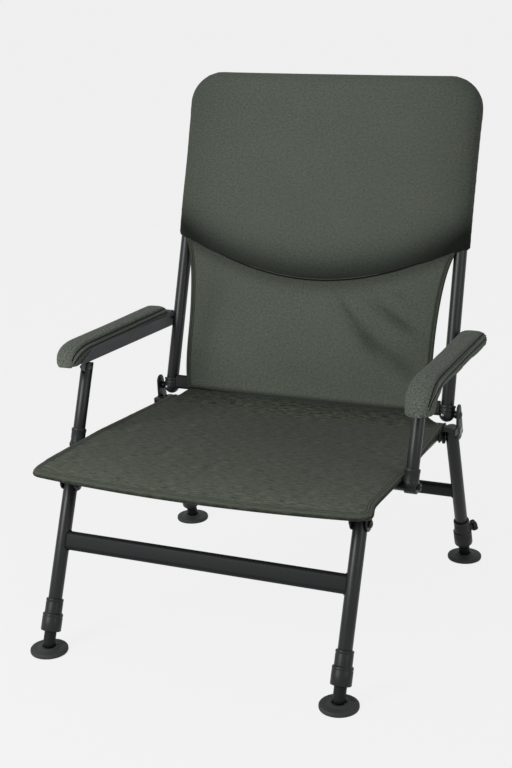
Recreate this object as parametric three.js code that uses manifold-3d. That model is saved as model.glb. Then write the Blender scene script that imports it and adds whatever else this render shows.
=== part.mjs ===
// A low fishing chair with a folding steel frame, in millimetres, +Z up and the front towards -Y.
// Inside the model, y is counted from the middle of the front feet and z from the ground.
// The finished group is moved so that its origin lies on the ground under the middle of the chair.
import * as THREE from "three";
import { mergeVertices } from "three/addons/utils/BufferGeometryUtils.js";
import Module from "manifold-3d";

const wasm = await Module();
wasm.setup();

// Driving dimensions: stance
const frontFootHalfSpan = 243.9;
const rearFootSpread = 28.3;
const rearFootHalfSpan = frontFootHalfSpan + rearFootSpread;
const wheelbase = 571.1;
const frontLegRake = THREE.MathUtils.degToRad(22.57);
const footPivotHeight = 14;

// Driving dimensions: seat. The rails stand over the front feet, and the sheet reaches past the rails.
const seatOverhang = 36.3;
const seatPullIn = 3.9;
const seatTaper = 17.1;
const seatFrontHalfWidth = frontFootHalfSpan + seatOverhang;
const seatSideHalfWidth = seatFrontHalfWidth - seatPullIn;
const seatRearHalfWidth = seatSideHalfWidth - seatTaper;
const seatFrontEdge = 8.5;
const seatFrontBow = 24;
const seatCornerRadius = 20;
const seatPullInStart = 50;
const seatPullInEnd = 72;
const seatTaperStart = 240;
const seatRearEdge = 478;
const seatRearHeight = 282.5;
const seatRise = 10.5;
const seatFrontHeight = seatRearHeight + seatRise;
const seatSag = 4;
const seatDroop = 8;
const seatDroopLength = 52;

// Driving dimensions: backrest
const reclineAngle = THREE.MathUtils.degToRad(17.6);
const reclineBehindSeat = 9.3;
const reclineAboveSeat = 14.5;
const reclinePivotY = seatRearEdge + reclineBehindSeat;
const reclinePivotZ = seatRearHeight + reclineAboveSeat;
const hingePlateOutset = 20.8;
const plateInnerX = seatRearHalfWidth + hingePlateOutset;
const backTubeSetIn = 20;
const backLeanIn = 6.5;
const backHalfSpanBottom = plateInnerX - backTubeSetIn;
const backHalfSpanTop = backHalfSpanBottom - backLeanIn;
const backTubeTop = 560;
const backCornerRadius = 45;
const padOutset = 22;
const padOverTube = 17;
const padOverCorner = 16;
const padHalfWidth = backHalfSpanTop + padOutset;
const padTop = backTubeTop + padOverTube;
const padCornerRadius = backCornerRadius + padOverCorner;
const padSeamMiddle = 206;
const padSeamRise = 70;
const panelBottom = -2;
const panelSetInBottom = 38;
const panelSetInWaist = 29.5;
const panelSetInTop = 2.5;
const panelHalfWidthBottom = backHalfSpanBottom - panelSetInBottom;
const panelHalfWidthWaist = backHalfSpanBottom - panelSetInWaist;
const panelHalfWidthTop = backHalfSpanTop - panelSetInTop;
const panelWaistHeight = 105;

// Driving dimensions: arms
const supportPivotY = 199;
const supportBelowSeat = 14.345;
const supportPivotZ = seatPlane(supportPivotY) - supportBelowSeat;
const supportOutset = 12.4;
const supportHalfSpan = seatSideHalfWidth + supportOutset;
const supportLength = 129.035;
const supportTubeOffset = 4.6;
const armRailWidth = 20;
const armRailHeight = 22;
const armRailSplay = THREE.MathUtils.degToRad(1.33);
const armRailSlope = THREE.MathUtils.degToRad(1.5);
const armPadWidth = 48;
const armPadOverhang = 57.7;
const armPadRear = 10;
const armPadOutset = 14;
const armPadTopAtPivot = 17;
const armPadSlope = THREE.MathUtils.degToRad(0.5);

// Driving dimensions: legs
const rearLegBehindSeat = 11;
const rearLegBelowSeat = 13.5;
const rearLegSetIn = 12;
const rearLegPivotY = seatRearEdge + rearLegBehindSeat;
const rearLegPivotZ = seatRearHeight - rearLegBelowSeat;
const rearLegPivotHalfSpan = plateInnerX - rearLegSetIn;
const footDiameter = 60;
const frontBarHeight = 165.8;
const frontBarDepth = 30;
const frontBarThickness = 15;
const rearBarHeight = 143;
const rearBarDepth = 26;
const rearBarThickness = 13;

// Stock
const legTubeRadius = 11;
const seatTubeRadius = 10;
const armTubeRadius = 10;
const extensionRadius = 9.5;
const tubeWall = 1.2;
const clearance = 0.3;
const boltRadius = 4;
const pinRadius = 3;
const boltHeadRadius = 6.5;
const boltHeadHeight = 2.6;
const overrun = 4;
const roundSides = 12;
const fineSides = 16;
const pinSides = 10;

// Finish
const tubePaint = { color: 0x33363a, roughness: 0.42, metalness: 0.55 };
const barPaint = { color: 0x26282a, roughness: 0.5, metalness: 0.5 };
const blackPlastic = { color: 0x2c2d2f, roughness: 0.6, metalness: 0 };
const greyPlastic = { color: 0x46474a, roughness: 0.55, metalness: 0 };
const sheetCloth = { color: 0x3d433c, roughness: 0.95, metalness: 0 };
const padCloth = { color: 0x4b5249, roughness: 0.95, metalness: 0 };
const footRubber = { color: 0x2a2d2b, roughness: 0.8, metalness: 0 };
const zincSteel = { color: 0x8b8d8f, roughness: 0.35, metalness: 0.9 };

const sides = { left: -1, right: 1 };
const chair = new THREE.Group();

// Joining and cutting
function solidOf(geometry) {
  const bare = geometry.index ? geometry.toNonIndexed() : geometry.clone();
  bare.deleteAttribute("normal");
  bare.deleteAttribute("uv");
  const merged = mergeVertices(bare, 1e-3);
  return new wasm.Manifold(
    new wasm.Mesh({
      numProp: 3,
      vertProperties: new Float32Array(merged.attributes.position.array),
      triVerts: new Uint32Array(merged.index.array),
    }),
  );
}

function geometryOf(solid) {
  const mesh = solid.getMesh();
  const geometry = new THREE.BufferGeometry();
  geometry.setAttribute("position", new THREE.BufferAttribute(mesh.vertProperties, mesh.numProp));
  geometry.setIndex(new THREE.BufferAttribute(mesh.triVerts, 1));
  geometry.computeVertexNormals();
  return geometry;
}

function join(...geometries) {
  return geometryOf(geometries.map(solidOf).reduce((sum, piece) => sum.add(piece)));
}

function cut(geometry, ...tools) {
  return geometryOf(tools.map(solidOf).reduce((left, tool) => left.subtract(tool), solidOf(geometry)));
}

function overlapOf(first, second) {
  return geometryOf(solidOf(first).intersect(solidOf(second)));
}

function place(name, geometry, finish, parent = chair) {
  const mesh = new THREE.Mesh(geometry, new THREE.MeshStandardMaterial(finish));
  mesh.name = name;
  parent.add(mesh);
  return mesh;
}

// A solid of revolution about Z. The profile lists [radius, z] from the lower end up the outside to the upper end.
function turned(profile, count = roundSides) {
  const points = profile.map(([radius, z]) => new THREE.Vector2(radius, z));
  return new THREE.LatheGeometry(points, count).rotateX(Math.PI / 2);
}

// A solid cylinder along Z from one height to another.
function rod(radius, from, to, count = roundSides) {
  return new THREE.CylinderGeometry(radius, radius, to - from, count)
    .rotateX(Math.PI / 2)
    .translate(0, 0, (from + to) / 2);
}

// The same cylinder laid along X through a point of the side view.
function crossRod(radius, from, to, y, z, count = pinSides) {
  return rod(radius, from, to, count)
    .rotateY(Math.PI / 2)
    .translate(0, y, z);
}

// A tube along Z, open at both ends.
function pipe(radius, wall, from, to, count = roundSides) {
  return cut(rod(radius, from, to, count), rod(radius - wall, from - overrun, to + overrun, count));
}

function block(lowX, highX, lowY, highY, lowZ, highZ) {
  return new THREE.BoxGeometry(highX - lowX, highY - lowY, highZ - lowZ).translate(
    (lowX + highX) / 2,
    (lowY + highY) / 2,
    (lowZ + highZ) / 2,
  );
}

// A flat plate: an outline in the Y-Z side view, given thickness from one x to another.
function plate(shape, fromX, toX, curveSegments = 8) {
  const depth = Math.abs(toX - fromX);
  return new THREE.ExtrudeGeometry(shape, { depth, bevelEnabled: false, curveSegments })
    .rotateX(Math.PI / 2)
    .rotateZ(Math.PI / 2)
    .translate(Math.min(fromX, toX), 0, 0);
}

// An outline with two round ends of their own radii, from one centre to the other.
function capsuleShape(lowY, lowZ, lowRadius, highY, highZ, highRadius) {
  const along = new THREE.Vector2(highY - lowY, highZ - lowZ);
  const lean = along.angle();
  const spread = Math.acos((lowRadius - highRadius) / along.length());
  const shape = new THREE.Shape();
  shape.absarc(highY, highZ, highRadius, lean - spread, lean + spread, false);
  shape.absarc(lowY, lowZ, lowRadius, lean + spread, lean - spread + 2 * Math.PI, false);
  return shape;
}

// A flat bar with round edges along X: wide in the direction that leans from Z by the given angle.
function ovalBar(width, thickness, halfLength, y, z, lean) {
  const edge = thickness / 2;
  const reach = width / 2 - edge;
  const shape = capsuleShape(
    y - reach * Math.sin(lean),
    z - reach * Math.cos(lean),
    edge,
    y + reach * Math.sin(lean),
    z + reach * Math.cos(lean),
    edge,
  );
  return plate(shape, -halfLength, halfLength, 5);
}

// A closed body between an upper and a lower grid of points over the same plan.
function shell(us, vs, upper, lower) {
  const row = us.length;
  const sheet = row * vs.length;
  const positions = [];
  for (const side of [upper, lower])
    for (const v of vs)
      for (const u of us) positions.push(...side(u, v));
  const index = [];
  const quad = (a, b, c, d) => index.push(a, b, c, a, c, d);
  for (let j = 0; j + 1 < vs.length; j++)
    for (let i = 0; i + 1 < row; i++) {
      const a = j * row + i;
      quad(a, a + 1, a + row + 1, a + row);
      quad(sheet + a, sheet + a + row, sheet + a + row + 1, sheet + a + 1);
    }
  const rim = [];
  for (let i = 0; i + 1 < row; i++) rim.push(i);
  for (let j = 0; j + 1 < vs.length; j++) rim.push(j * row + row - 1);
  for (let i = row - 1; i > 0; i--) rim.push((vs.length - 1) * row + i);
  for (let j = vs.length - 1; j > 0; j--) rim.push(j * row);
  rim.forEach((p, n) => {
    const q = rim[(n + 1) % rim.length];
    quad(sheet + p, sheet + q, q, p);
  });
  const geometry = new THREE.BufferGeometry();
  geometry.setAttribute("position", new THREE.Float32BufferAttribute(positions, 3));
  geometry.setIndex(index);
  geometry.computeVertexNormals();
  return geometry;
}

function evenly(count, from = 0, to = 1) {
  return Array.from({ length: count + 1 }, (_, i) => from + ((to - from) * i) / count);
}

// How high a rounded edge of the given radius stands at a distance in from that edge, as a share of the radius.
function roundedShare(distance, radius) {
  const inward = Math.min(Math.max(distance / radius, 0), 1);
  return Math.sqrt(1 - (1 - inward) ** 2);
}

// Seat surface
function seatPlane(y) {
  const run = (y - seatPullInStart) / (seatRearEdge - seatPullInStart);
  return seatFrontHeight + (seatRearHeight - seatFrontHeight) * run;
}

function seatHalfWidth(y) {
  const pulledIn = THREE.MathUtils.smoothstep(y, seatPullInStart, seatPullInEnd);
  const tapered = Math.max(y - seatTaperStart, 0) / (seatRearEdge - seatTaperStart);
  return (
    seatFrontHalfWidth +
    (seatSideHalfWidth - seatFrontHalfWidth) * pulledIn +
    (seatRearHalfWidth - seatSideHalfWidth) * tapered
  );
}

function seatFront(x) {
  const across = Math.abs(x) / seatFrontHalfWidth;
  const corner = seatCornerRadius * (1 - roundedShare(seatFrontHalfWidth - Math.abs(x), seatCornerRadius));
  return seatFrontEdge + seatFrontBow * across ** 2 + corner;
}

function seatTopAt(x, y) {
  const across = Math.min(Math.abs(x) / seatHalfWidth(y), 1);
  const fromFront = Math.max(y - seatFront(x), 0);
  const droop = seatDroop * Math.max(1 - fromFront / seatDroopLength, 0) ** 2;
  const dish = seatSag * (1 - across ** 2) * THREE.MathUtils.smoothstep(fromFront, 0, seatDroopLength * 2);
  return seatPlane(y) - droop - dish;
}

// Seat sheet with its turned-down hem, and the flat bars inside the hem
const sheetThickness = 2.6;
const hemDepth = 6.2;
const hemWidth = 2.4;
const hemStep = 0.5;
const hemBarWidth = 12;
const hemBarThickness = 3;
const hemBarRearSetIn = 32;
const hemBarRearEnd = seatRearEdge - hemBarRearSetIn;
const hemRearGap = 6;
const hemBarFrontEnd = seatFrontEdge + seatFrontBow + seatCornerRadius + 2 * hemBarWidth;

function seatPoint(u, v) {
  const nearFront = u * seatFrontHalfWidth;
  const y = seatFront(nearFront) + v * (seatRearEdge - seatFront(nearFront));
  const x = u * seatHalfWidth(y);
  return [x, y];
}

function seatFabric() {
  const hemShare = hemWidth / seatFrontHalfWidth;
  const stepShare = (hemWidth + hemStep) / seatFrontHalfWidth;
  const inside = evenly(14, -1 + 4 * stepShare, 1 - 4 * stepShare);
  const us = [-1, -1 + hemShare, -1 + stepShare, ...inside, 1 - stepShare, 1 - hemShare, 1];
  const length = seatRearEdge - seatFrontEdge;
  const frontRows = [0, hemWidth / length, (hemWidth + hemStep) / length];
  const droopRows = evenly(3, seatDroopLength / 4 / length, seatDroopLength / length);
  const hemEnd = (hemBarRearEnd - seatFrontEdge) / length;
  const openRows = evenly(7, 1.8 * (seatDroopLength / length), hemEnd);
  const vs = [...frontRows, ...droopRows, ...openRows, hemEnd + hemRearGap / length, 1];
  const upper = (u, v) => {
    const [x, y] = seatPoint(u, v);
    return [x, y, seatTopAt(x, y)];
  };
  const lower = (u, v) => {
    const [x, y] = seatPoint(u, v);
    const inHem = Math.abs(u) > 1 - stepShare / 1.05 || v < frontRows[1] * 1.05;
    const turnedDown = inHem && v < hemEnd + hemRearGap / length / 2;
    return [x, y, seatTopAt(x, y) - (turnedDown ? hemDepth : sheetThickness)];
  };
  return shell(us, vs, upper, lower);
}

const hemBarTop = sheetThickness + clearance;
const hemBarInset = hemWidth + hemStep + 2 * clearance;

function hemBarSide(side) {
  const edges = side < 0 ? [0, 1] : [1, 0];
  const rows = evenly(8, hemBarFrontEnd, hemBarRearEnd - 2 * clearance);
  const at = (u, y, down) => {
    const inset = hemBarInset + u * hemBarWidth;
    const x = side * (seatHalfWidth(y) - inset);
    return [x, y, seatTopAt(x, y) - down];
  };
  return shell(
    edges,
    rows,
    (u, y) => at(u, y, hemBarTop),
    (u, y) => at(u, y, hemBarTop + hemBarThickness),
  );
}

function hemBarFront() {
  const reach = seatFrontHalfWidth - seatCornerRadius - hemBarInset - hemBarWidth;
  const at = (x, v, down) => {
    const y = seatFront(x) + hemBarInset + 3 * clearance + v * hemBarWidth;
    return [x, y, seatTopAt(x, y) - down];
  };
  return shell(
    evenly(12, -reach, reach),
    [0, 1],
    (x, v) => at(x, v, hemBarTop + clearance),
    (x, v) => at(x, v, hemBarTop + clearance + hemBarThickness),
  );
}

place("seat_fabric", seatFabric(), sheetCloth);
place("hem_bar_left", hemBarSide(sides.left), zincSteel);
place("hem_bar_right", hemBarSide(sides.right), zincSteel);
place("hem_bar_front", hemBarFront(), zincSteel);

// Seat frame: two rails with outrigger tabs, and two cross tubes
const railRadius = legTubeRadius;
const railDrop = hemDepth + 1.4;
const railFrontEnd = 82;
const rearTubeSetIn = 10;
const rearTubeY = seatRearEdge - rearTubeSetIn;
const railRearEnd = rearTubeY - seatTubeRadius - clearance;
const frontTubeY = 136;
const frontTabSetBack = 28;
const rearTabSetIn = 76;
const tabStations = [frontTubeY + frontTabSetBack, seatRearEdge - rearTabSetIn];
const tabWidth = 20;
const tabThickness = 4;
const tabRoot = 3;

function railCentre(y) {
  return seatPlane(y) - railDrop - railRadius;
}

const railSlope = Math.atan2(railCentre(railRearEnd) - railCentre(railFrontEnd), railRearEnd - railFrontEnd);

function seatRail(side) {
  const x = side * frontFootHalfSpan;
  const length = (railRearEnd - railFrontEnd) / Math.cos(railSlope);
  const along = (geometry) =>
    geometry.rotateX(-Math.PI / 2 + railSlope).translate(x, railFrontEnd, railCentre(railFrontEnd));
  const tabs = tabStations.map((y) => {
    const reach = side * (seatHalfWidth(y) - hemBarInset - hemWidth);
    const top = seatTopAt(reach, y) - hemBarTop - hemBarThickness - 3 * clearance;
    const root = x + side * tabRoot;
    return block(
      Math.min(root, reach),
      Math.max(root, reach),
      y - tabWidth / 2,
      y + tabWidth / 2,
      top - tabThickness,
      top,
    );
  });
  const bore = rod(railRadius - tubeWall, -overrun, length + overrun);
  return cut(join(along(rod(railRadius, 0, length)), ...tabs), along(bore));
}

function crossTube(y, halfLength) {
  const tube = pipe(seatTubeRadius, tubeWall, -halfLength, halfLength);
  return tube.rotateY(Math.PI / 2).translate(0, y, railCentre(y));
}

function railTool(side) {
  const reach = railRearEnd - railFrontEnd;
  return rod(railRadius + clearance, -reach, 2 * reach)
    .rotateX(-Math.PI / 2 + railSlope)
    .translate(side * frontFootHalfSpan, railFrontEnd, railCentre(railFrontEnd));
}

place("seat_rail_left", seatRail(sides.left), tubePaint);
place("seat_rail_right", seatRail(sides.right), tubePaint);
place(
  "seat_front_tube",
  cut(crossTube(frontTubeY, frontFootHalfSpan - railRadius / 2), railTool(sides.left), railTool(sides.right)),
  tubePaint,
);

// Hinge brackets: the capsule-shaped outer plate, the bridge and the inner ear that holds the leg bolt
const plateThickness = 4;
const earThickness = 2.8;
const earOuterX = rearLegPivotHalfSpan - legTubeRadius - clearance;
const earInnerX = earOuterX - earThickness;
const plateLowRadius = 15.5;
const plateHighRadius = 11;
const plateLift = 37;
const plateLean = -5.5;
const bridgeFront = rearTubeY - seatTubeRadius;
const bridgeRear = rearLegPivotY - legTubeRadius - overrun;
const bridgeThickness = 4.4;
const bridgeTop = seatPlane(rearTubeY) - sheetThickness - 3 * clearance;
const earHalfWidth = 11;
const earDrop = 15;
const earRise = 10.5;
const webDrop = 7;

place(
  "seat_rear_tube",
  crossTube(rearTubeY, earInnerX - clearance),
  tubePaint,
);

function hingeBracket(side) {
  const outline = capsuleShape(
    rearLegPivotY + clearance,
    rearLegPivotZ,
    plateLowRadius,
    rearLegPivotY + plateLean,
    rearLegPivotZ + plateLift,
    plateHighRadius,
  );
  const outerPlate = plate(outline, side * plateInnerX, side * (plateInnerX + plateThickness), 6);
  const spanX = (low, high) => [Math.min(side * low, side * high), Math.max(side * low, side * high)];
  const web = block(
    ...spanX(plateInnerX, plateInnerX + plateThickness),
    bridgeFront,
    rearLegPivotY,
    bridgeTop - bridgeThickness - webDrop,
    bridgeTop,
  );
  const bridge = block(
    ...spanX(earInnerX, plateInnerX + plateThickness),
    bridgeFront,
    bridgeRear,
    bridgeTop - bridgeThickness,
    bridgeTop,
  );
  const earShape = capsuleShape(
    rearLegPivotY,
    rearLegPivotZ - earDrop,
    earHalfWidth,
    rearLegPivotY,
    rearLegPivotZ,
    earHalfWidth - clearance,
  );
  const ear = plate(earShape, side * earInnerX, side * earOuterX, 6);
  const earFront = block(
    ...spanX(earInnerX, earOuterX),
    bridgeFront,
    rearLegPivotY,
    railCentre(rearTubeY) - seatTubeRadius,
    bridgeTop,
  );
  const reach = plateInnerX + plateThickness + overrun;
  const legHole = crossRod(boltRadius + clearance, -reach, reach, rearLegPivotY, rearLegPivotZ);
  const reclineHole = crossRod(pinRadius + clearance, -reach, reach, reclinePivotY, reclinePivotZ);
  return cut(join(outerPlate, web, bridge, ear, earFront), legHole, reclineHole);
}

// A bolt along X: [radius, x] steps from the inner end outwards, mirrored for the left side.
function boltAlongX(side, steps, y, z) {
  const profile = [];
  steps.forEach(([radius, from, to], n) => {
    if (n === 0) profile.push([0, from]);
    profile.push([radius, from], [radius, to]);
    if (n === steps.length - 1) profile.push([0, to]);
  });
  return turned(profile, pinSides)
    .rotateY((side * Math.PI) / 2)
    .translate(0, y, z);
}

const plateOuterX = plateInnerX + plateThickness;
const socketRadius = 13.5;

function backSpanAt(height) {
  return backHalfSpanBottom + ((backHalfSpanTop - backHalfSpanBottom) * height) / backTubeTop;
}

for (const [name, side] of Object.entries(sides)) {
  place("hinge_bracket_" + name, hingeBracket(side), blackPlastic);
  place(
    "rear_leg_bolt_" + name,
    boltAlongX(
      side,
      [
        [boltHeadRadius, earInnerX - boltHeadHeight - clearance, earInnerX - clearance],
        [boltRadius, earInnerX - clearance, plateOuterX + clearance],
        [boltHeadRadius, plateOuterX + clearance, plateOuterX + clearance + boltHeadHeight],
      ],
      rearLegPivotY,
      rearLegPivotZ,
    ),
    zincSteel,
  );
  place(
    "recline_bolt_" + name,
    boltAlongX(
      side,
      [
        [pinRadius, backHalfSpanBottom - socketRadius, backHalfSpanBottom + socketRadius + clearance],
        [boltHeadRadius, backHalfSpanBottom + socketRadius + clearance, plateInnerX - clearance],
        [pinRadius, plateInnerX - clearance, plateOuterX + clearance],
        [boltHeadRadius, plateOuterX + clearance, plateOuterX + clearance + boltHeadHeight / 2],
      ],
      reclinePivotY,
      reclinePivotZ,
    ),
    blackPlastic,
  );
}

// A frame for one straight member: z runs from one point to the other.
function memberFrame(from, to) {
  const frame = new THREE.Group();
  frame.position.copy(from);
  const along = to.clone().sub(from).normalize();
  frame.quaternion.setFromUnitVectors(new THREE.Vector3(0, 0, 1), along);
  frame.updateMatrix();
  return frame;
}

// Front leg pivots, hung under the rails by saddle straps
const strapThickness = 2.3;
const strapWidth = 24;
const legTipReach = 5;
const legTipSweep = Math.hypot(legTipReach, legTubeRadius);
const frontPivotRun = Math.tan(frontLegRake);
const railBottomShare = Math.tan(railSlope);
const frontLegPivotZ =
  (railCentre(0) - railRadius - legTipSweep - 2 * clearance - railBottomShare * footPivotHeight * frontPivotRun) /
  (1 - railBottomShare * frontPivotRun);
const frontLegPivotY = (frontLegPivotZ - footPivotHeight) * frontPivotRun;
const strapDrop = 11;

function frontBracket(side) {
  const x = side * frontFootHalfSpan;
  const inner = railRadius + clearance;
  const outer = inner + strapThickness;
  const top = railCentre(frontLegPivotY) + railRadius + strapThickness + 2 * clearance;
  const low = frontLegPivotZ - strapDrop;
  const body = block(
    x - outer,
    x + outer,
    frontLegPivotY - strapWidth / 2,
    frontLegPivotY + strapWidth / 2,
    low,
    top,
  );
  const hollow = block(
    x - inner,
    x + inner,
    frontLegPivotY - strapWidth,
    frontLegPivotY + strapWidth,
    low - overrun,
    top - strapThickness,
  );
  const sideView = capsuleShape(
    frontLegPivotY,
    frontLegPivotZ + clearance,
    strapWidth / 2,
    frontLegPivotY,
    top + strapWidth,
    strapWidth / 2 - clearance,
  );
  const keep = plate(sideView, x - 2 * outer, x + 2 * outer, 6);
  const hole = crossRod(boltRadius + clearance, -outer - overrun, outer + overrun, frontLegPivotY, frontLegPivotZ);
  return cut(overlapOf(cut(body, hollow), keep), hole.translate(x, 0, 0));
}

for (const [name, side] of Object.entries(sides)) {
  const strapOuter = railRadius + clearance + strapThickness;
  place("front_bracket_" + name, frontBracket(side), barPaint);
  place(
    "front_leg_bolt_" + name,
    boltAlongX(
      side,
      [
        [
          boltHeadRadius,
          frontFootHalfSpan - strapOuter - clearance - boltHeadHeight,
          frontFootHalfSpan - strapOuter - clearance,
        ],
        [
          boltRadius,
          frontFootHalfSpan - strapOuter - clearance,
          frontFootHalfSpan + strapOuter + clearance,
        ],
        [
          boltHeadRadius,
          frontFootHalfSpan + strapOuter + clearance,
          frontFootHalfSpan + strapOuter + clearance + boltHeadHeight,
        ],
      ],
      frontLegPivotY,
      frontLegPivotZ,
    ),
    zincSteel,
  );
}

// Legs: tube, clamp with its knob, sliding extension and mud foot. Heights run along the leg from the foot pivot.
const clampBottom = 19.5;
const clampStep = 48;
const clampTop = 71;
const clampWideRadius = 16;
const clampNarrowRadius = 13.6;
const clampChamfer = 1.4;
const clampLip = 3;
const extensionTop = 150;
const extensionPlug = 12;
const bossRadius = 6.5;
const bossReach = 18.5;
const bossDepth = 5;
const knobRadius = 10.5;
const knobThickness = 8.5;
const knobLobes = 5;
const knobLobeShare = 0.07;
const footDisc = 8;
const footHubHeight = 10;
const footHubRadius = 14.5;
const footRim = 2.5;
const ballClearance = 0.55;

function legTube(leg, pivot, length) {
  const tube = pipe(legTubeRadius, tubeWall, clampBottom + clampLip + clearance, length + legTipReach);
  const reach = legTubeRadius + overrun;
  const hole = crossRod(boltRadius + clearance, pivot.x - reach, pivot.x + reach, pivot.y, pivot.z);
  return cut(tube, hole.applyMatrix4(leg.matrix.clone().invert()));
}

function legClamp(knobAngle) {
  const body = turned([
    [0, clampBottom],
    [clampWideRadius - clampChamfer, clampBottom],
    [clampWideRadius, clampBottom + clampChamfer],
    [clampWideRadius, clampStep - clampChamfer],
    [clampNarrowRadius, clampStep],
    [clampNarrowRadius, clampTop - clampChamfer],
    [clampNarrowRadius - clampChamfer, clampTop],
    [0, clampTop],
  ]);
  const boss = rod(bossRadius, 0, bossReach, pinSides)
    .rotateY(Math.PI / 2)
    .rotateZ(knobAngle)
    .translate(0, 0, clampStep);
  const bore = rod(legTubeRadius + clearance, clampBottom + clampLip, clampTop + overrun);
  const lowBore = rod(extensionRadius + clearance, clampBottom - overrun, clampStep);
  const socket = rod(pinRadius + clearance, bossReach - bossDepth, bossReach + overrun, pinSides)
    .rotateY(Math.PI / 2)
    .rotateZ(knobAngle)
    .translate(0, 0, clampStep);
  return cut(join(body, boss), bore, lowBore, socket);
}

// A knob with a scalloped rim on a stud, along X from the leg's axis.
function clampKnob(knobAngle) {
  const rim = new THREE.Shape(
    evenly(3 * knobLobes, 0, 2 * Math.PI)
      .slice(1)
      .map((turn) => {
        const radius = knobRadius * (1 - knobLobeShare + knobLobeShare * Math.cos(knobLobes * turn));
        return new THREE.Vector2(radius * Math.cos(turn), radius * Math.sin(turn));
      }),
  );
  const bevel = clampChamfer;
  const grip = new THREE.ExtrudeGeometry(rim, {
    depth: knobThickness - 2 * bevel,
    bevelThickness: bevel,
    bevelSize: bevel,
    bevelOffset: -bevel,
    bevelSegments: 1,
  }).translate(0, 0, bossReach + clearance + bevel);
  const stud = rod(pinRadius, bossReach - bossDepth + clearance, bossReach + knobThickness / 2, pinSides);
  return join(grip, stud)
    .rotateY(Math.PI / 2)
    .rotateZ(knobAngle)
    .translate(0, 0, clampStep);
}

function legExtension() {
  const nose = evenly(4, -Math.PI / 2, 0).map((angle) => [
    extensionRadius * Math.cos(angle),
    extensionRadius * Math.sin(angle),
  ]);
  nose[0][0] = 0;
  const bore = extensionRadius - tubeWall;
  return turned([
    ...nose,
    [extensionRadius, extensionTop],
    [bore, extensionTop],
    [bore, extensionPlug],
    [0, extensionPlug],
  ]);
}

function mudFoot() {
  const radius = footDiameter / 2;
  const cup = extensionRadius + ballClearance;
  const lip = footHubHeight - footPivotHeight;
  const mouth = Math.asin(lip / cup);
  const recess = evenly(5, mouth, -Math.PI / 2).map((angle) => [
    cup * Math.cos(angle),
    footPivotHeight + cup * Math.sin(angle),
  ]);
  recess[recess.length - 1][0] = 0;
  return turned(
    [
      [0, 0],
      [radius - footRim / 2, 0],
      [radius, footRim],
      [radius, footDisc - footRim],
      [radius - footRim, footDisc],
      [footHubRadius + footRim / 2, footDisc],
      [footHubRadius, footHubHeight],
      ...recess,
    ],
    fineSides,
  );
}

const frontKnobAngle = THREE.MathUtils.degToRad(114);
const legSets = {
  front: {
    foot: (side) => new THREE.Vector3(side * frontFootHalfSpan, 0, footPivotHeight),
    pivot: (side) => new THREE.Vector3(side * frontFootHalfSpan, frontLegPivotY, frontLegPivotZ),
    knobAngle: () => frontKnobAngle,
  },
  rear: {
    foot: (side) => new THREE.Vector3(side * rearFootHalfSpan, wheelbase, footPivotHeight),
    pivot: (side) => new THREE.Vector3(side * rearLegPivotHalfSpan, rearLegPivotY, rearLegPivotZ),
    knobAngle: (side) => Math.PI / 2 - (side * Math.PI) / 4,
  },
};

for (const [end, set] of Object.entries(legSets))
  for (const [name, side] of Object.entries(sides)) {
    const tag = end + "_" + name;
    const foot = set.foot(side);
    const pivot = set.pivot(side);
    const leg = memberFrame(foot, pivot);
    chair.add(leg);
    place(end + "_leg_" + name, legTube(leg, pivot, foot.distanceTo(pivot)), tubePaint, leg);
    place("leg_clamp_" + tag, legClamp(set.knobAngle(side)), blackPlastic, leg);
    place("clamp_knob_" + tag, clampKnob(set.knobAngle(side)), blackPlastic, leg);
    place("leg_extension_" + tag, legExtension(), barPaint, leg);
    place("mud_foot_" + tag, mudFoot(), footRubber).position.set(foot.x, foot.y, 0);
  }

// Leg cross bars, coped round the legs
function legBar(end, height, depth, thickness) {
  const set = legSets[end];
  const tools = Object.values(sides).map((side) => {
    const leg = memberFrame(set.foot(side), set.pivot(side));
    const length = set.foot(side).distanceTo(set.pivot(side));
    return rod(legTubeRadius + 2 * clearance, 0, length, fineSides).applyMatrix4(leg.matrix);
  });
  const from = set.foot(sides.right);
  const to = set.pivot(sides.right);
  const share = (height - from.z) / (to.z - from.z);
  const at = from.clone().lerp(to, share);
  const lean = Math.atan2(to.y - from.y, to.z - from.z);
  return cut(ovalBar(depth, thickness, at.x, at.y, at.z, lean), ...tools);
}

place("front_cross_bar", legBar("front", frontBarHeight, frontBarDepth, frontBarThickness), barPaint);
place("rear_cross_bar", legBar("rear", rearBarHeight, rearBarDepth, rearBarThickness), barPaint);

// Backrest, in its own frame: the origin is the recline pivot, z runs up the tubes and -y is the front
const back = new THREE.Group();
back.position.set(0, reclinePivotY, reclinePivotZ);
back.rotation.x = -reclineAngle;
chair.add(back);

const backTubeEnd = -5.7;
const uprightTop = backTubeTop - backCornerRadius;
const bowSleeve = 0.25;
const bowLap = 8;
const bendPull = 0.5523;

function upright(side, radius, from, to) {
  const low = new THREE.Vector3(side * backSpanAt(from), 0, from);
  const high = new THREE.Vector3(side * backSpanAt(to), 0, to);
  return rod(radius, 0, low.distanceTo(high)).applyMatrix4(memberFrame(low, high).matrix);
}

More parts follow.
